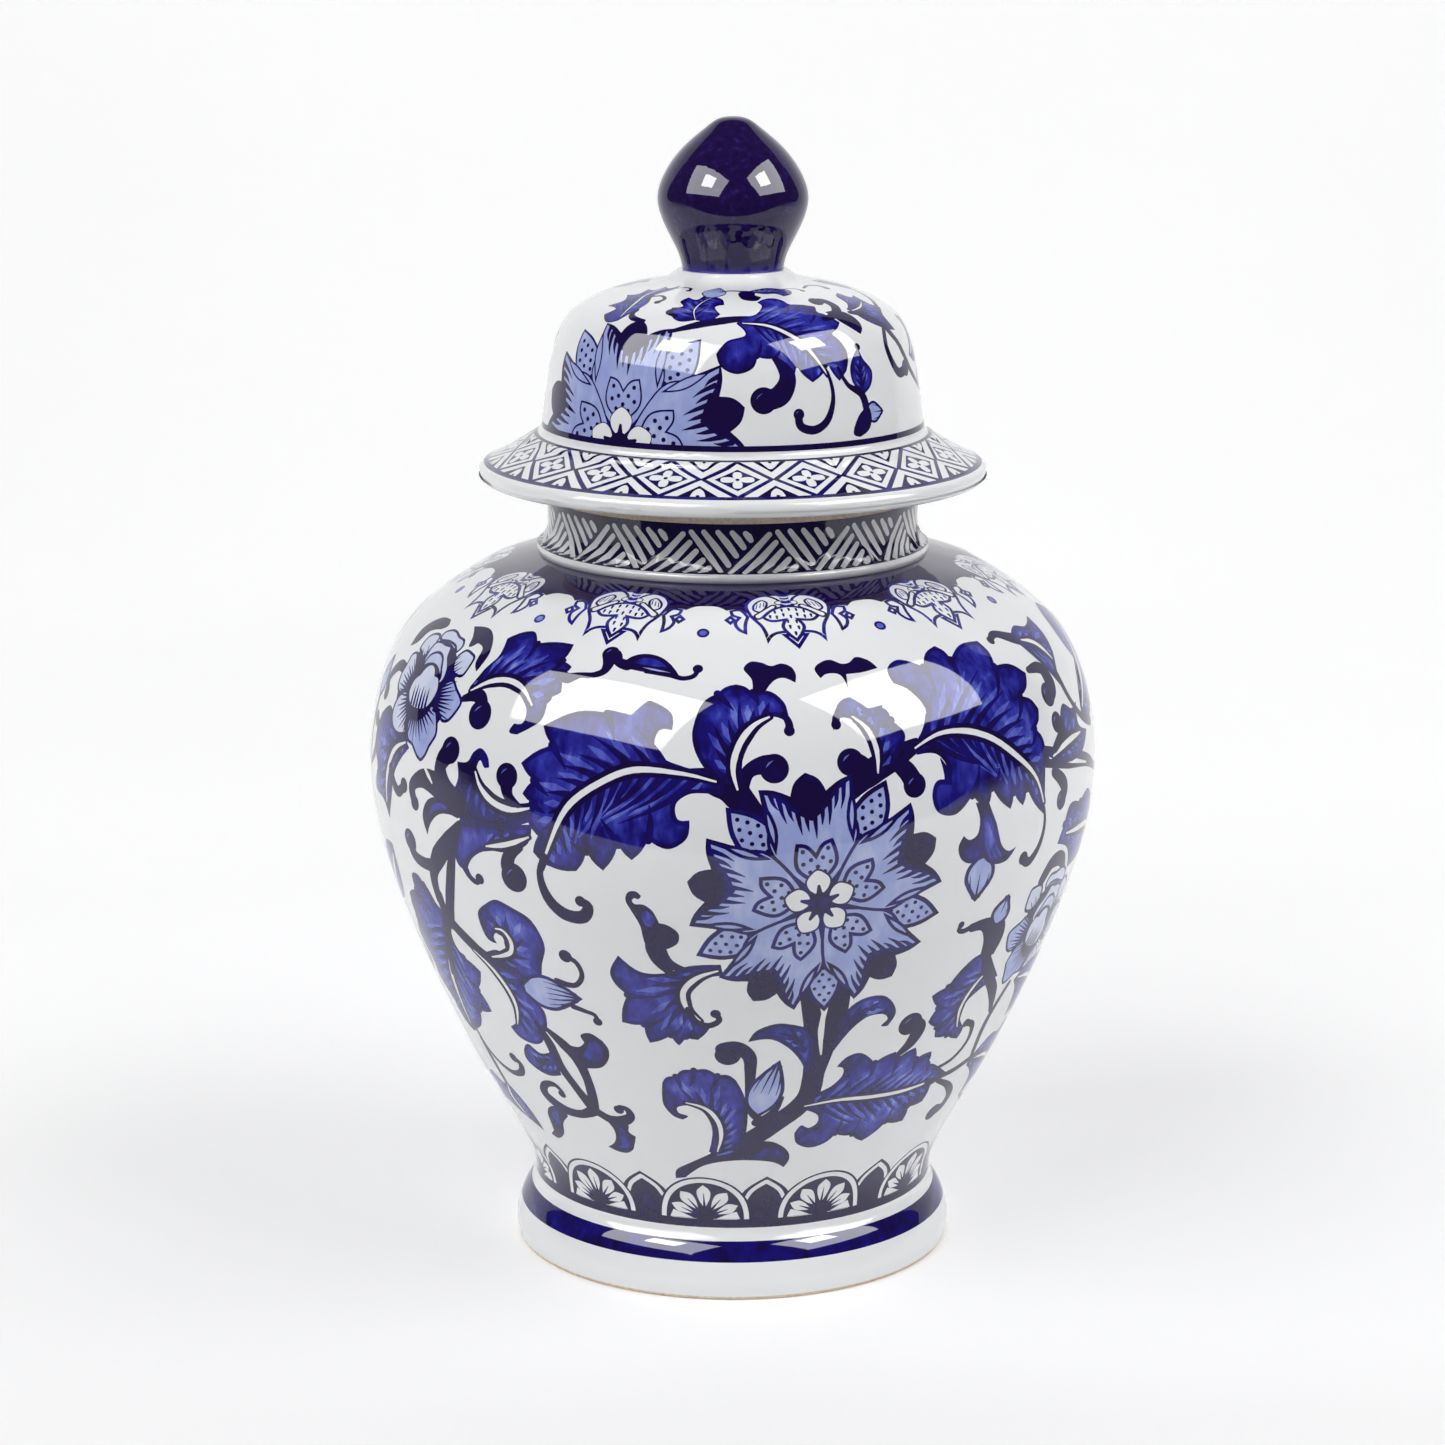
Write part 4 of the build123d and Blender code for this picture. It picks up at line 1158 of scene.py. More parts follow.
def vine_right(art):
    """The leaves, bud and second peony on the right of the front."""
    art.leaf([[(47.6, 70), (44.2, 69.6), (41.4, 67.4), (39.6, 64.6)],
              *lobes([(39.6, 64.6), (36.4, 63.3), (38.8, 60.3), (37.6, 57.3), (40.2, 55.5), (40.8, 53),
                      (44.2, 52.6), (48, 50.8)], -0.06),
              [(48.6, 53), (46.6, 55.5), (45.8, 57.5), (46.5, 60), (49.6, 62), (53.4, 63.5)],
              [(51, 66), (47.6, 70)]], [(49.6, 66), (46.4, 62.4), (45.2, 58.6), (46.4, 54)], 7,
             rib_width=0.7)
    art.brush([(47.6, 74), (47.4, 69), (49.6, 65), (54, 60), (56.6, 55)], (2.6, 2.4, 2.4, 2.6, 1.2))
    art.patch([(40.6, 76.6), (40.8, 75.2), (43.6, 74.8), (45, 72.6), (45.4, 69)], [(49.2, 69)],
              [(50.2, 73), (49, 75.8), (44.6, 77), (40.6, 76.6)])
    art.curl([(44, 76), (41.4, 76.1), (39.4, 75.6), (38.3, 76), (38.6, 76.9)], (1.6, 1.2, 1.0, 0.8),
             0.65)
    art.bud((46.8, 74.8), (48.6, 80.4), 4.8, 3)
    art.brush([(55, 101), (63, 99), (72, 97), (80, 94)], (3.4, 3.0, 2.2, 1.2))
    art.brush([(57, 100.5), (64, 98.6), (72, 96.6)], (0.5, 0.9, 0.3), WHITE)
    art.leaf([[(56, 101), (60, 101.4), (62, 105)], [(64.6, 107.4), (68, 106), (71, 106.6)],
              [(69.6, 103.4), (74, 101.4)], [(70, 98.8), (62, 98.6), (56, 101)]],
             [(58, 100.4), (64, 101.6), (70, 101.8)], 6)
    art.curl([(58, 98), (61.4, 95), (60.4, 93.2)], (1.8, 2.4, 2.6), 1.6)
    art.curl([(59, 101.5), (62.6, 104), (61, 105.2)], (1.6, 2.2, 2.4), 1.7)
    art.curl([(57.6, 114.6), (61.8, 114), (62.6, 111), (60.6, 109.8)], (1.2, 2.2, 3.4, 3.4), 2.0)
    art.curl([(66, 119), (60, 120.6), (55, 122.8), (52.8, 121.8)], (3.4, 2.6, 1.2), 0.9)
    art.leaf([[(59, 121), (63, 123), (67, 122), (72, 123.4)], [(71.6, 119), (70, 115.6)],
              [(67, 112), (66.4, 110)], [(63.4, 114), (61, 117.4), (59, 121)]],
             [(61.4, 120), (65.4, 118.4), (68, 114.6)], 5)
    art.brush([(66.6, 112), (68, 108), (72, 104), (78, 102)], (1.6, 1.2, 1.4, 2.0))
    art.leaf([[(72, 104), (76, 108), (80, 112)], [(78, 116), (80, 121), (85, 123.6)], [(89, 121)],
              [(92, 118), (91, 113)], [(88, 108), (80, 103), (72, 104)]],
             [(74, 105), (80, 109), (85, 115), (87, 120)], 8)
    art.curl([(58, 80.4), (60.6, 83), (64.4, 82.6), (66.6, 80)], (2.4, 2.8, 1.8), 0.8)
    art.leaf([[(69, 80), (66, 84), (60.8, 86)], [(62.4, 88.8)], [(64, 91.6), (69, 91)],
              [(74, 92), (80, 88), (84, 84)], [(78, 81), (69, 80)]],
             [(82, 84.4), (75, 86), (68, 86.6), (64, 87)], 7)
    peony(art, (64, 71), -12, 0.98, flip=True)
    art.leaf([[(62, 60), (66, 56), (68, 50)], [(72, 51)], [(76, 47), (79, 50)], [(84, 50), (83, 55)],
              [(87, 58), (80, 62), (72, 63), (66, 62.6), (62, 60)]],
             [(64, 60), (71, 58.6), (77, 56), (82, 52.4)], 8)
    art.leaf([[(58, 43), (64, 47), (69, 46)], [(72, 48.6), (75, 44)], [(79, 42), (76, 38)],
              [(77, 33), (71, 34)], [(66, 30), (64, 36), (58, 41)], [(58, 43)]],
             [(59, 42.4), (65, 41.4), (71, 39.4), (75, 36)], 7)
    art.brush([(60, 60), (57, 52), (58, 44)], (1.4, 1.8, 1.6))
    art.curl([(76, 38), (82, 36), (86, 39), (84, 41.4)], (1.2, 2.0, 2.2), 1.6)
    art.curl([(84, 84), (89, 88), (89, 93), (85.6, 94)], (1.8, 2.0, 2.2), 1.6)
    art.curl([(66, 30), (72, 27), (78, 26), (81, 29)], (1.2, 1.8, 2.0), 1.5)
    art.curl([(82, 62), (88, 64), (91, 69), (88, 71)], (1.2, 1.8, 2.2), 1.7)
    art.leaf([[(76, 74), (80, 76), (83, 80)], [(88, 80)], [(91, 77), (88, 74)],
              [(86, 71), (80, 71), (76, 74)]], [(77, 74), (82, 75), (87, 77)], 4)


def vine_side(art):
    """A slim sprig on the side of the jar, where the front garden and its copy on the back meet."""
    art.brush([(98, 23), (95, 36), (100, 54), (103, 72), (99.6, 90), (101, 106)],
              (2.4, 2.4, 2.2, 2.0, 1.8, 1.4))
    art.leaf([[(95.4, 39), (99, 42.6), (104, 41.4)], [(109.4, 37.4)],
              [(106, 33), (100, 32.6), (96, 35.4), (95.4, 39)]],
             [(96.6, 38.4), (101.4, 38), (106.8, 37.2)], 5)
    art.leaf([[(101, 56.4), (96, 57), (92.4, 60.6)], [(90.2, 66.4)],
              [(94.4, 67.6), (99.4, 65), (102, 60), (101, 56.4)]],
             [(100.4, 58), (96.4, 61.4), (92.6, 65)], 5)
    art.leaf([[(103, 73), (107, 73.4), (110, 77)], [(110.6, 84)],
              [(105.8, 83.4), (103, 79.4), (103, 73)]], [(103.8, 75), (106.6, 78.4), (109.2, 82)], 4)
    art.curl([(95.4, 41), (91, 42.4), (88.8, 46), (91, 47.4)], (1.6, 2.0, 2.0), 1.5)
    art.curl([(102.6, 66), (106.6, 65.4), (108.4, 62), (106.4, 60.6)], (1.4, 1.8, 2.0), 1.4)
    art.curl([(100, 88), (96.4, 90.6), (95, 95), (97, 96.4)], (1.4, 1.9, 2.0), 1.4)
    art.curl([(100.2, 95), (104, 97.4), (105, 101.4), (103, 102.6)], (1.2, 1.7, 1.8), 1.3)
    art.bud((101, 105.6), (101.4, 113.4), 5.0, 3)


def body_art(chart):
    """Lappets at the waist, the garden on front and back, and the collar with its medallions."""
    art = Art()
    foot_lappets(art)
    for art.shift in (0.0, HALF_TURN):
        vine_side(art)
        vine_edge(art)
        vine_right(art)
        vine_left(art)
        peony(art, (-60.5, 112))
        vine_low(art)
        vine_top(art)
        lotus(art, (13, 84))
    art.shift = 0.0
    shoulder_band(art, chart.top)
    return art


# Heights in metres of bands and lattices, the foot ring's cobalt, and how tall the hatching is drawn
FOOT_BAND = (0.0119, 0.0176)
FOOT_BLUE = 0.92
BARE_RIM = 0.0012
NECK_HATCH_FOOT = 0.2258
NECK_GLAZE_TOP = 0.2400
HATCH_RISE = 1.13
DOME_FOOT = 0.2612
LATTICE_FOOT = 0.248


def neck_art(chart):
    """Hatched zigzag round the neck, between dark lines. The rim above it is bare."""
    art = Art()
    art.lift = chart.y_at_height(NECK_HATCH_FOOT)
    art.band(-0.7, chart.y_at_height(NECK_GLAZE_TOP) - art.lift, DARK)
    period = FULL_TURN / HATCHES
    falling = [((-9.9, 11.6), (-1, 0.9)), ((-6.1, 11.7), (1.2, 3.1)), ((-1.9, 11.7), (3.5, 5.5)),
               ((2.3, 11.6), (5.7, 7.7)), ((6.2, 11.4), (7.8, 9.6))]
    rising = [((1.8, 0.2), (13.3, 11)), ((5.9, 0.2), (15.3, 8.8)), ((10.2, 0.3), (17.2, 6.5)),
              ((14.5, 0.4), (19.3, 4.2)), ((18.8, 0.5), (21.2, 2.2))]
    for k in range(HATCHES):
        art.shift = FIRST_HATCH + period * k
        for a, b in falling + rising:
            middle = ((a[0] + b[0]) / 2 + 0.15, (a[1] + b[1]) / 2)
            art.brush(np.array([a, middle, b]) * (1, HATCH_RISE), (1.6, 2.1, 1.7), WHITE)
    art.shift = 0.0
    return art


def foot_art(chart):
    """A broad blue ring near the top of the foot. The rim it stands on is bare."""
    art = Art()
    low, high = (chart.y_at_height(height) for height in FOOT_BAND)
    art.band(low, high, FOOT_BLUE)
    art.band(0.0, chart.y_at_height(BARE_RIM), WHITE)
    return art


def brim_lattice(art):
    """Diamonds with a floret in each, point to point round the brim, and half florets between them."""
    period = FULL_TURN / DIAMONDS
    middle = 10.4
    for k in range(DIAMONDS):
        x = FIRST_DIAMOND + period * k
        for across, rise, cobalt in ((9.4, 7.8, INK), (7.7, 6.3, WHITE), (5.7, 4.5, INK)):
            art.fill(np.array([(x + across, middle), (x, middle + rise), (x - across, middle),
                               (x, middle - rise)]), cobalt)
        for turn, reach in ((0, 3.3), (90, 4.0), (180, 3.3), (270, 4.0)):
            petal = bend([(0, 0), (1.15, reach * 0.45), (0.8, reach), (-0.8, reach),
                          (-1.15, reach * 0.45)], closed=True)
            art.fill(placed(petal, (x, middle), turn), WHITE)
        art.disc((x, middle), 0.55)
        x += period / 2
        art.fill(np.array([(x, middle + 3.2), (x + 4.9, 17.8), (x - 4.9, 17.8)]), DARK)
        art.patch([(x - 3, 17.8), (x - 1.6, 15.9), (x, 14.9), (x + 1.6, 15.9), (x + 3, 17.8)],
                  cobalt=WHITE)
        art.disc((x, 17.2), 0.5)
        art.fill(np.array([(x, middle - 2.6), (x - 5.2, 3.2), (x + 5.2, 3.2)]), DARK)
        art.patch([(x - 1.8, 3.3), (x - 1.2, 5.6), (x, 6.7), (x + 1.2, 5.6), (x + 1.8, 3.3)],
                  cobalt=WHITE)
        art.disc((x, 3.9), 0.45)
    art.band(2.4, 3.7, INK)
    art.band(17.5, 18.6, DARK)


def dome_garden(art):
    """The main flower rising from the foot of the dome, with leaves, buds and tendrils round it."""
    lotus(art, (-35, 1), 2.0, 0.0)
    art.brush([(-22, 37), (-10, 41.4), (0, 43.8), (6, 44.2)], (1.4, 3.4, 4.2, 3.2))
    art.leaf([[(4, 45.6), (8, 46.4), (11, 50), (12.4, 54), (11, 57)],
              [(14.6, 60.6), (19, 61.8), (23, 59.6), (25, 54)],
              *lobes([(25, 54), (36, 50.6), (34, 46.8), (40.5, 39.6), (34.4, 35.4), (38.6, 29),
                      (37, 22.8)], 0.07), [(34, 20)],
              *lobes([(34, 20), (30.6, 25), (24.6, 20.2), (19.6, 25.4), (17.6, 20.2), (12.6, 28),
                      (7.5, 28.6)], 0.06), [(6, 25.2), (1, 23.4), (-3.8, 25.6), (-5.4, 29.6)],
              [(-2, 34), (4, 36.4), (1, 41.4)], [(4, 45.6)]],
             [(3.4, 41.6), (12, 40.2), (18, 36.7), (23, 32.4), (30, 22)], 9, rib_width=1.3)
    art.curl([(30, 23), (31.2, 15), (28.4, 8.4), (24, 6.2), (20, 7.6), (19.6, 11)],
             (1.0, 1.4, 2.2, 2.6, 2.4), 1.7)
    art.curl([(13, 28), (16.6, 22), (14, 16.8), (9, 15.4)], (2.0, 5.0, 6.4, 6.0), 4.0)
    art.curl([(35, 42), (43, 45), (46, 50), (44, 55), (40, 55)], (2.4, 4.0, 4.4, 5.0), 3.6)
    art.patch([(38, 46), (41, 40), (47, 34)], [(49.6, 37), (49, 42), (45, 46), (38, 46)])
    art.leaf([[(42, 16), (39, 19), (38.6, 23.6), (41, 27.6), (43.4, 29.6)],
              [(44.6, 26), (47.6, 22), (46.6, 18), (43.4, 15.4)], [(42, 16)]],
             [(42.8, 17), (42.4, 21), (43.2, 26)], 4, rib_width=0.3)
    art.disc((43.4, 30), 1.2)
    art.brush([(34, 24), (37, 18.6), (42, 15.4), (43.6, 11)], (1.2, 1.4, 2.4, 3.0))
    art.bud((43, 9.8), (51, 9.6), 6.4, 3)
    art.patch([(44.4, 12), (40, 9), (37.6, 4), (40, 3)], [(44, 5), (45.4, 8.4), (44.4, 12)])
    art.leaf([[(-14, 43), (-20, 42), (-24, 45), (-26.4, 51)], [(-22, 52.6), (-25, 57), (-23, 62.6)],
              [(-18, 60), (-15.6, 66)], [(-10, 65), (-5.4, 61), (-4, 55)], [(-7.6, 53), (-5, 47)],
              [(-9, 42.6), (-14, 43)]], [(-14, 43.4), (-16, 50), (-14, 58), (-11, 63)], 6,
             rib_width=0.5)
    art.bud((-12.4, 63), (-9.4, 83), 14, 6)
    art.brush([(-8, 73), (-2, 75.6), (4, 75), (10, 73.6)], (1.2, 2.2, 2.4, 2.8))
    art.patch([(3, 66), (5, 60.6), (11, 59), (14.6, 64)],
              [(12, 67), (13.4, 73), (8, 75.6), (3.4, 72), (3, 66)])
    art.leaf([[(9, 74), (16, 78.6), (24, 80.6), (31, 78)], [(36.4, 72.6), (33, 66), (27, 63.6)],
              [(24, 68), (17, 68.6), (9, 74)]], [(12, 73.8), (20, 74.4), (28, 71.6)], 5, rib_width=0.5)
    art.curl([(31, 74), (37, 76), (43, 73.6), (44, 69.6)], (1.6, 1.6, 2.0), 1.6)
    art.curl([(-22, 45), (-26.4, 47.6), (-24.6, 50)], (1.6, 2.4, 1.8), 1.3)
    art.curl([(-34, 41), (-40.6, 43), (-41.6, 46.6)], (2.0, 2.6, 2.2), 1.7)
    art.leaf([[(-45, 40), (-50, 38.6), (-55, 42)], [(-52.6, 46), (-59.6, 47)], [(-55.6, 53), (-61, 58)],
              [(-55, 61), (-57, 69)], [(-50.6, 69), (-50.6, 78)], [(-44.6, 75), (-42, 84.6)],
              [(-39.6, 74), (-43.4, 62), (-40, 52), (-45, 40)]],
             [(-45.4, 42), (-46.6, 52), (-49, 62), (-47, 74)], 9, rib_width=1.0)
    art.curl([(-44, 60), (-38.6, 62), (-34.6, 58.6), (-36, 55)], (1.8, 1.8, 2.2), 1.7)
    art.curl([(-40, 76), (-34.6, 80), (-29, 78), (-28.4, 73.6)], (1.8, 1.8, 2.4), 1.8)
    art.leaf([[(50, 46), (55, 50), (57, 57), (63, 60)], [(65, 54), (70.6, 55)], [(69.4, 47), (74, 43)],
              [(68, 39), (69, 33)], [(60.6, 35), (54, 39), (50, 46)]], [(52, 45), (59, 46), (66, 49)],
             6, rib_width=0.8)
    art.brush([(49.6, 44), (58, 40), (66, 30), (72, 20), (80, 14)], (2.0, 2.6, 2.6, 1.8))
    art.curl([(62, 36), (58, 28), (62, 20), (68, 20.6)], (1.8, 2.6, 3.4), 2.6)
    art.bud((80, 13), (88, 20), 6.6, 3)
    art.leaf([[(74, 24), (80, 30), (81, 38)], [(86, 36), (91, 41)], [(92.6, 33), (98, 30)],
              [(92, 25), (86, 23), (80, 21), (74, 24)]], [(76, 24), (84, 28), (90, 34)], 5)
    art.curl([(50, 74), (58, 77), (66, 74), (66, 68)], (2.0, 2.4, 3.0), 2.4)
    art.brush([(72, 44), (80, 50), (86, 60), (84, 72)], (2.0, 2.2, 1.8))
    art.leaf([[(84, 58), (91, 60), (96, 66)], [(94, 71), (98, 78)], [(90, 79), (84, 83)],
              [(80.6, 76), (81, 66), (84, 58)]], [(84.6, 60), (88, 68), (88, 76)], 5)


def lid_art(chart):
    """The garden twice round the dome, a line at its foot, and the lattice on the brim."""
    art = Art()
    art.lift = chart.y_at_height(DOME_FOOT)
    for art.shift in (0.0, HALF_TURN):
        dome_garden(art)
    art.shift = 0.0
    art.band(-art.lift, 0.6, WHITE)
    art.band(0.6, 2.3, DARK)
    art.lift = chart.y_at_height(LATTICE_FOOT)
    brim_lattice(art)
    return art


# ---------------------------------------------------------------- materials

def srgb(red, green, blue):
    """A display colour from 0 to 255 as scene-linear RGBA."""
    linear = [((v / 255 + 0.055) / 1.055) ** 2.4 if v > 10 else v / 255 / 12.92 for v in (red, green,
                                                                                          blue)]
    return (*linear, 1.0)


class Graph:
    """A node material under construction."""

    def __init__(self, name):
        self.material = bpy.data.materials.new(name)
        self.material.use_nodes = True
        self.tree = self.material.node_tree
        self.shader = self.tree.nodes["Principled BSDF"]
        self.place = self.add("ShaderNodeTexCoord").outputs["Object"]

    def add(self, kind, settings=None, **links):
        """A node with plain settings and with inputs by name, spaces as underscores.
        An input is a value or another node's output."""
        node = self.tree.nodes.new(kind)
        for key, value in (settings or {}).items():
            setattr(node, key, value)
        for key, value in links.items():
            self.set(node.inputs[key.replace("_", " ")], value)
        return node

    def set(self, socket, value):
        """Gives an input a value or another node's output."""
        if isinstance(value, bpy.types.NodeSocket):
            self.tree.links.new(value, socket)
        else:
            socket.default_value = value

    def shade(self, **values):
        """Sets inputs of the Principled shader, with spaces as underscores."""
        for key, value in values.items():
            self.set(self.shader.inputs[key.replace("_", " ")], value)

    def math(self, operation, a, b):
        """Output of a math node."""
        node = self.add("ShaderNodeMath", {"operation": operation})
        self.set(node.inputs[0], a)
        self.set(node.inputs[1], b)
        return node.outputs[0]

    def noise(self, scale, detail=2.0, stretch=(1, 1, 1)):
        """Output of a noise over the object's own metres, with each axis scaled by stretch."""
        mapped = self.add("ShaderNodeMapping", Vector=self.place, Scale=stretch).outputs[0]
        return self.add("ShaderNodeTexNoise", Vector=mapped, Scale=scale, Detail=detail).outputs["Fac"]

    def ramp(self, value, stops):
        """Colours along a value, from (position, colour) pairs."""
        node = self.add("ShaderNodeValToRGB", Fac=value)
        marks = node.color_ramp.elements
        for _ in stops[2:]:
            marks.new(0.5)
        for mark, (position, colour) in zip(marks, stops):
            mark.position = position
            mark.color = colour
        return node.outputs["Color"]

    def mix(self, share, a, b):
        """A colour that goes from a to b as share goes from 0 to 1."""
        node = self.add("ShaderNodeMix", {"data_type": "RGBA"})
        for socket, value in zip((node.inputs[0], node.inputs[6], node.inputs[7]), (share, a, b)):
            self.set(socket, value)
        return node.outputs[2]

    def bump(self, height, strength, distance):
        """A normal bent by height, where a height of 1 stands distance metres up."""
        return self.add("ShaderNodeBump", Height=height, Strength=strength,
                        Distance=distance).outputs["Normal"]


CLAY = [(0.25, srgb(196, 176, 150)), (0.75, srgb(226, 212, 192))]

# Heights in metres between which the knob's glaze goes from thin to full
KNOB_FOOT = (0.3096, 0.3122)

# Colour of the glaze by the amount of cobalt under it
COBALT = [
    (0.0, srgb(229, 230, 231)),
    (0.1, srgb(200, 206, 228)),
    (0.2, srgb(154, 165, 214)),
    (0.45, srgb(88, 100, 194)),
    (0.68, srgb(45, 46, 155)),
    (0.85, srgb(22, 14, 112)),
    (1.0, srgb(20, 4, 60)),
]


def painted_glaze():
    """White porcelain glaze over cobalt painting, with bare clay where the glaze was wiped off."""
    graph = Graph("painted_glaze")
    cobalt = graph.add("ShaderNodeAttribute", {"attribute_name": "cobalt"}).outputs["Fac"]
    glaze = graph.add("ShaderNodeAttribute", {"attribute_name": "glaze"}).outputs["Fac"]
    # How much the wash may vary: not at all in white glaze, most in the middle blues
    steady = graph.math("SUBTRACT", 6.2, graph.math("MULTIPLY", cobalt, 6.0))
    room = graph.math("MULTIPLY", graph.math("POWER", cobalt, 2.0), steady)
    wash = graph.math("SUBTRACT", graph.noise(110.0, 3.0), 0.5)
    streak = graph.math("SUBTRACT", graph.noise(420.0, 2.0, (1, 1, 0.35)), 0.5)
    change = graph.math("ADD", graph.math("MULTIPLY", wash, 0.8), graph.math("MULTIPLY", streak, 0.45))
    depth = graph.math("ADD", cobalt, graph.math("MULTIPLY", change, room))
    colour = graph.ramp(depth, COBALT)
    clay = graph.ramp(graph.noise(900.0, 4.0), CLAY)
    waves = graph.math("ADD", graph.noise(38.0, 1.0), graph.math("MULTIPLY", cobalt, 0.04))
    graph.shade(
        Base_Color=graph.mix(glaze, clay, colour),
        Roughness=graph.math("SUBTRACT", 0.9, graph.math("MULTIPLY", glaze, 0.55)),
        Specular_IOR_Level=0.0,
        Coat_Weight=glaze,
        Coat_IOR=1.58,
        Coat_Roughness=0.035,
        Coat_Normal=graph.bump(waves, 0.35, 0.0006),
        Normal=graph.bump(graph.noise(1500.0, 3.0), 0.05, 0.0001),
    )
    return graph.material


def cobalt_glaze():
    """Near-black cobalt glaze, a little bluer and thinner at the foot of the knob."""
    graph = Graph("cobalt_glaze_speckled")
    height = graph.add("ShaderNodeSeparateXYZ", Vector=graph.place).outputs["Z"]
    foot, clear = KNOB_FOOT
    edge = graph.add("ShaderNodeMapRange", Value=height, From_Min=foot, From_Max=clear, To_Min=1.0,
                     To_Max=0.0)
    depth = graph.math("ADD", graph.noise(500.0, 4.0), graph.math("MULTIPLY", graph.noise(60.0), 0.3))
    body = graph.ramp(depth,
                      [(0.35, srgb(19, 4, 50)), (0.75, srgb(30, 12, 70)), (0.95, srgb(52, 34, 108))])
    graph.shade(
        Base_Color=graph.mix(edge.outputs[0], body, srgb(52, 44, 140)),
        Roughness=0.4,
        Specular_IOR_Level=0.0,
        Coat_Weight=1.0,
        Coat_Roughness=0.012,
        Coat_Normal=graph.bump(graph.noise(45.0, 1.0), 0.12, 0.0005),
    )
    return graph.material


def biscuit():
    """Unglazed fired clay with a fine grain and a few darker specks."""
    graph = Graph("bare_biscuit_clay")
    grain = graph.noise(1100.0, 5.0)
    specks = graph.add("ShaderNodeTexVoronoi", Vector=graph.place, Scale=650.0).outputs["Distance"]
    spotted = graph.ramp(specks, [(0.06, srgb(150, 126, 100)), (0.14, srgb(255, 255, 255))])
    colour = graph.add("ShaderNodeMix", {"data_type": "RGBA", "blend_type": "MULTIPLY"})
    for number, value in ((0, 0.6), (6, graph.ramp(grain, CLAY)), (7, spotted)):
        graph.set(colour.inputs[number], value)
    graph.shade(Base_Color=colour.outputs[2], Roughness=0.88, Normal=graph.bump(grain, 0.3, 0.0002))
    return graph.material


def sweep_paper():
    """Matt white paper with a painted glow that stands in for light, stronger towards the back."""
    graph = Graph("sweep_paper")
    depth = graph.add("ShaderNodeSeparateXYZ", Vector=graph.place).outputs["Y"]
    near, far = PAPER_PAINTED_GLOW[0][0], PAPER_PAINTED_GLOW[-1][0]
    share = graph.add("ShaderNodeMapRange", Value=depth, From_Min=near, From_Max=far).outputs[0]
    # painted glow: emission that stands in for light on the paper, growing towards the back
    painted_glow = graph.ramp(share,
                      [((y - near) / (far - near), (level, level, level, 1)) for y,
                       level in PAPER_PAINTED_GLOW])
    tone = graph.ramp(graph.noise(1.2, 2.0), [(0.3, srgb(237, 237, 238)), (0.7, srgb(242, 242, 242))])
    graph.shade(Base_Color=tone, Roughness=0.9, Specular_IOR_Level=0.1, Emission_Color=painted_glow,
                Emission_Strength=1.0)
    return graph.material


# ---------------------------------------------------------------- jar

# Places on the CAD profiles, as (radius, height) in metres
WAIST = (0.0634, 0.0215)
SHOULDER = (0.061, 0.2226)
FOOT_EDGE = (0.0686, 0.0002)
BRIM_EDGE = (0.0777, 0.2455)
SEAT_RADIUS = 0.061
SEAT = 0.247
NECK_BORE = 0.0515
BODY_SKIN = 0.0595   # outer skins keep outside these radii
NECK_SKIN = 0.0565
DOME_SKIN = 0.0165
BASE_UNDERSIDE = [(0.0, 0.007), (0.059, 0.007), (0.059, 0.0215)]
INNER_FLOOR = [(0.04, 0.016), (0.0, 0.016)]
LID_GLAZE_FOOT = 0.2515


def no_bare(radius, height):
    """For a piece that is glazed all over."""
    return False


def paint_body(paint):
    """The body from the waist to the neck, with the base under it and the floor inside."""
    chart = Chart(skin("jar_body", WAIST, BODY_SKIN))
    wall = bore("jar_body", low=0.0161, widest=0.12)
    inner = [(NECK_BORE, SHOULDER[1])] + wall[1:] + INNER_FLOOR
    body = Turned(chart, body_art(chart), BASE_UNDERSIDE, inner, no_bare)
    body.piece("jar_body_painted", "jar", "jar_body", "painted_porcelain", paint)


def paint_foot(paint):
    """The foot ring, bare on the edge that it stands on."""
    chart = Chart(skin("foot_ring", FOOT_EDGE, BODY_SKIN))
    inner = bore("foot_ring", low=0.0, widest=0.06)
    inner += underside("foot_ring", high=0.00015, narrowest=0.067)
    foot = Turned(chart, foot_art(chart), [], inner, lambda radius, height: height < BARE_RIM)
    foot.piece("foot_ring_painted", "jar", "foot_ring", "painted_porcelain", paint)


def paint_neck(paint):
    """The neck, bare round its rim."""
    chart = Chart(skin("neck_collar", SHOULDER, NECK_SKIN))
    inner = [(NECK_BORE, SEAT), (NECK_BORE, SHOULDER[1])]
    collar = Turned(chart, neck_art(chart), [], inner, lambda radius, height: height > NECK_GLAZE_TOP)
    collar.piece("neck_collar_painted", "jar", "neck_collar", "painted_porcelain", paint)


def paint_lid(paint):
    """The dome and brim, bare where they meet the neck."""
    chart = Chart(skin("lid_shell", BRIM_EDGE, DOME_SKIN))
    cavity = [p for p in bore("lid_shell", low=0.0, widest=0.06) if p[1] >= SEAT - SEAM_GAP]
    just_outside = SEAT_RADIUS + 0.0002
    brim = underside("lid_shell", high=SEAT - 0.00005, narrowest=just_outside)
    inner = cavity + [(SEAT_RADIUS, SEAT)] + brim

    def bare(radius, height):
        return height < LID_GLAZE_FOOT and radius < just_outside

    shell = Turned(chart, lid_art(chart), [], inner, bare)
    shell.piece("lid_shell_painted", "lid", "lid_shell", "painted_porcelain", paint)


def build_jar():
    """The four painted pieces. The knob and the flange keep their CAD meshes and get new materials."""
    paint = painted_glaze()
    paint_body(paint)
    paint_foot(paint)
    paint_neck(paint)
    paint_lid(paint)
    for node, material in (("lid_finial", cobalt_glaze()), ("lid_locating_flange", biscuit())):
        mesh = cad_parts[node].data
        mesh.materials.clear()
        mesh.materials.append(material)


# ---------------------------------------------------------------- studio

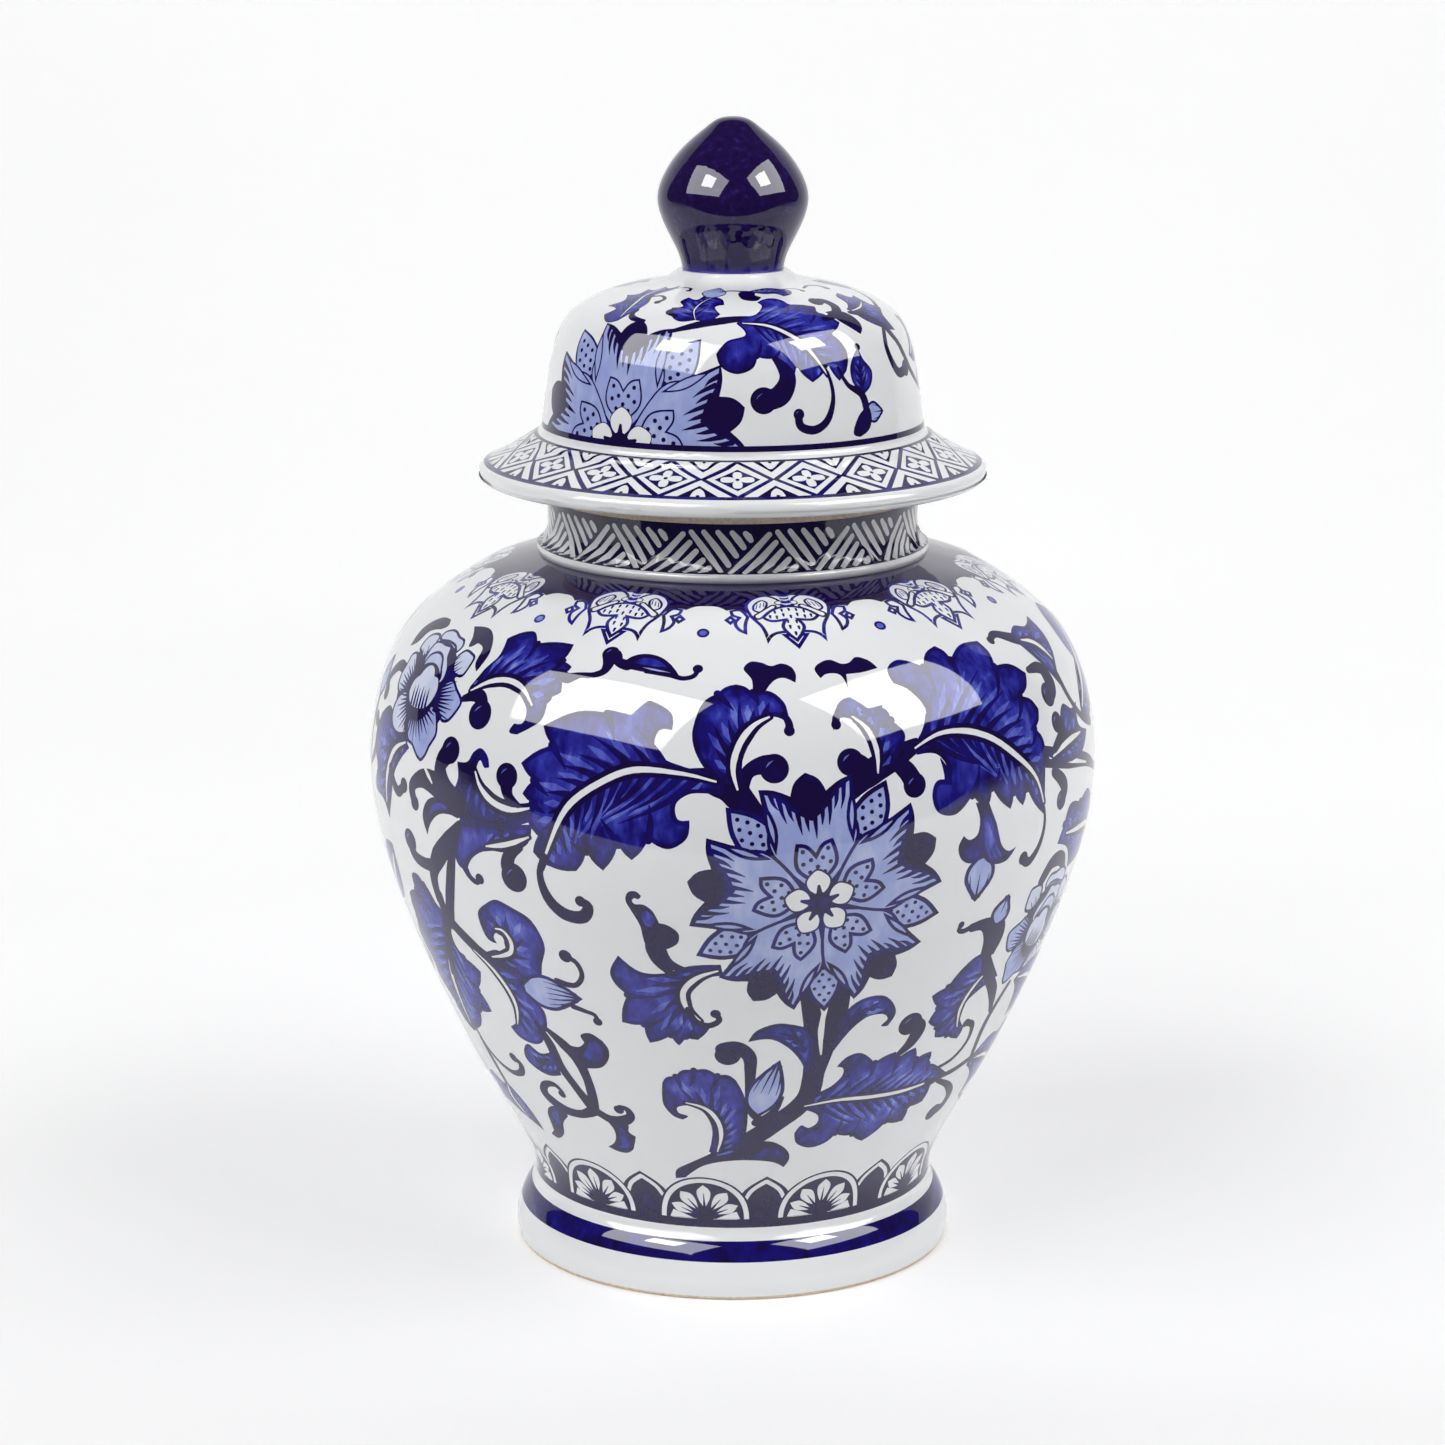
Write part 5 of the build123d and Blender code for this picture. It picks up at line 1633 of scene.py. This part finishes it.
# The paper sweep, in metres
SWEEP_HALF_WIDTH = 3.2
SWEEP_FRONT = -0.5
SWEEP_BACK = 1.9
SWEEP_BEND = 0.9
SWEEP_TOP = 3.0

# Painted glow of the paper that stands in for light, as (metres behind the jar, strength)
PAPER_PAINTED_GLOW = [
    (-0.16, 0.015), (-0.07, 0.09), (0.02, 0.17), (0.1, 0.23), (0.25, 0.25), (0.4, 0.25),
    (0.6, 0.315), (1.1, 0.41), (1.8, 0.48),
]

# Softboxes, as (side, azimuth, azimuth of its bright core, width, power), in degrees, metres, watts
SOFTBOXES = [("left", -50, -47, 1.5, 18.3), ("right", 66, 60, 1.3, 15.8)]
# The rest of a softbox: the sheen and the core are reflections in the glaze and light nothing
SOFTBOX_ELEVATION = 40
SOFTBOX_DISTANCE = 1.5
SOFTBOX_HEIGHT = 0.96
SHEEN_DISTANCE = 1.49
SHEEN_POWER = 9
CORE_ELEVATION = 45
CORE_DISTANCE = 1.47
CORE_SIZE = (0.42, 0.36)
CORE_POWER = 8

# The room's colour and brightness
ROOM_TINT = (0.93, 0.95, 1.0, 1)
ROOM_GLOW = 0.07   # what the glaze reflects
ROOM_SEEN = 0.85   # what the camera sees past the paper

CAMERA_PLACE = (-0.0032, -1.199, 0.4392)
CAMERA_DOWN = 12.81   # degrees below level
CAMERA_LENS = 97.16   # millimetres
AIM = Vector((0.0, 0.0, 0.2))   # what the softboxes face


def studio():
    """White paper that runs back along the floor and bends up into the backdrop."""
    side = [(SWEEP_FRONT, 0.0)]
    for turn in np.radians(np.linspace(-90, 0, 25)):
        y = SWEEP_BACK - SWEEP_BEND + SWEEP_BEND * math.cos(turn)
        side.append((y, SWEEP_BEND + SWEEP_BEND * math.sin(turn)))
    side.append((SWEEP_BACK, SWEEP_TOP))
    corners = [(x, y, z) for y, z in side for x in (-SWEEP_HALF_WIDTH, SWEEP_HALF_WIDTH)]
    strips = [(2 * k, 2 * k + 1, 2 * k + 3, 2 * k + 2) for k in range(len(side) - 1)]
    mesh = bpy.data.meshes.new("paper_sweep")
    mesh.from_pydata(corners, [], strips)
    mesh.polygons.foreach_set("use_smooth", [True] * len(strips))
    mesh.materials.append(sweep_paper())
    sweep = bpy.data.objects.new("paper_sweep", mesh)
    bpy.context.scene.collection.objects.link(sweep)
    sweep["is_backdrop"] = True


def softbox(name, azimuth, elevation, distance, size, power, sheen_only=False):
    """A rectangular softbox aimed at the jar. Azimuth 0 is the camera's side and grows to the right.
    With sheen_only it shows as a reflection but lights nothing."""
    lamp = bpy.data.lights.new(name, "AREA")
    lamp.shape = "RECTANGLE"
    lamp.size, lamp.size_y = size
    lamp.energy = power
    light = bpy.data.objects.new(name, lamp)
    turn, rise = math.radians(azimuth), math.radians(elevation)
    way = Vector((math.cos(rise) * math.sin(turn), -math.cos(rise) * math.cos(turn), math.sin(rise)))
    light.location = AIM + way * distance
    light.rotation_euler = way.to_track_quat("Z", "Y").to_euler()
    light.visible_diffuse = not sheen_only
    bpy.context.scene.collection.objects.link(light)


def lights():
    """Each softbox is three lamps: one that lights the jar, and two that only show in its glaze."""
    for side, azimuth, core_azimuth, width, power in SOFTBOXES:
        name = f"softbox_{side}"
        size = (width, SOFTBOX_HEIGHT)
        softbox(name, azimuth, SOFTBOX_ELEVATION, SOFTBOX_DISTANCE, size, power)
        softbox(name + "_sheen", azimuth, SOFTBOX_ELEVATION, SHEEN_DISTANCE, size, SHEEN_POWER, True)
        softbox(name + "_core", core_azimuth, CORE_ELEVATION, CORE_DISTANCE, CORE_SIZE, CORE_POWER,
                True)


def room():
    """A pale room to the camera and a dim one to everything else."""
    world = bpy.data.worlds.new("dim_room")
    world.use_nodes = True
    nodes, links = world.node_tree.nodes, world.node_tree.links
    background = nodes["Background"]
    background.inputs["Color"].default_value = ROOM_TINT
    seen = nodes.new("ShaderNodeLightPath")
    strength = nodes.new("ShaderNodeMapRange")
    strength.inputs["To Min"].default_value = ROOM_GLOW
    strength.inputs["To Max"].default_value = ROOM_SEEN
    links.new(seen.outputs["Is Camera Ray"], strength.inputs["Value"])
    links.new(strength.outputs["Result"], background.inputs["Strength"])
    bpy.context.scene.world = world


def camera():
    """A long lens a little above the jar, looking slightly down."""
    view = bpy.data.cameras.new("camera")
    view.lens = CAMERA_LENS
    viewer = bpy.data.objects.new("camera", view)
    viewer.location = CAMERA_PLACE
    viewer.rotation_euler = (math.radians(90 - CAMERA_DOWN), 0, 0)
    bpy.context.scene.collection.objects.link(viewer)
    bpy.context.scene.camera = viewer
    bpy.context.scene.view_settings.view_transform = "Standard"


build_jar()
studio()
lights()
room()
camera()

boxes = [[list(map(float, corner)) for corner in box] for box in (cad_box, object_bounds())]
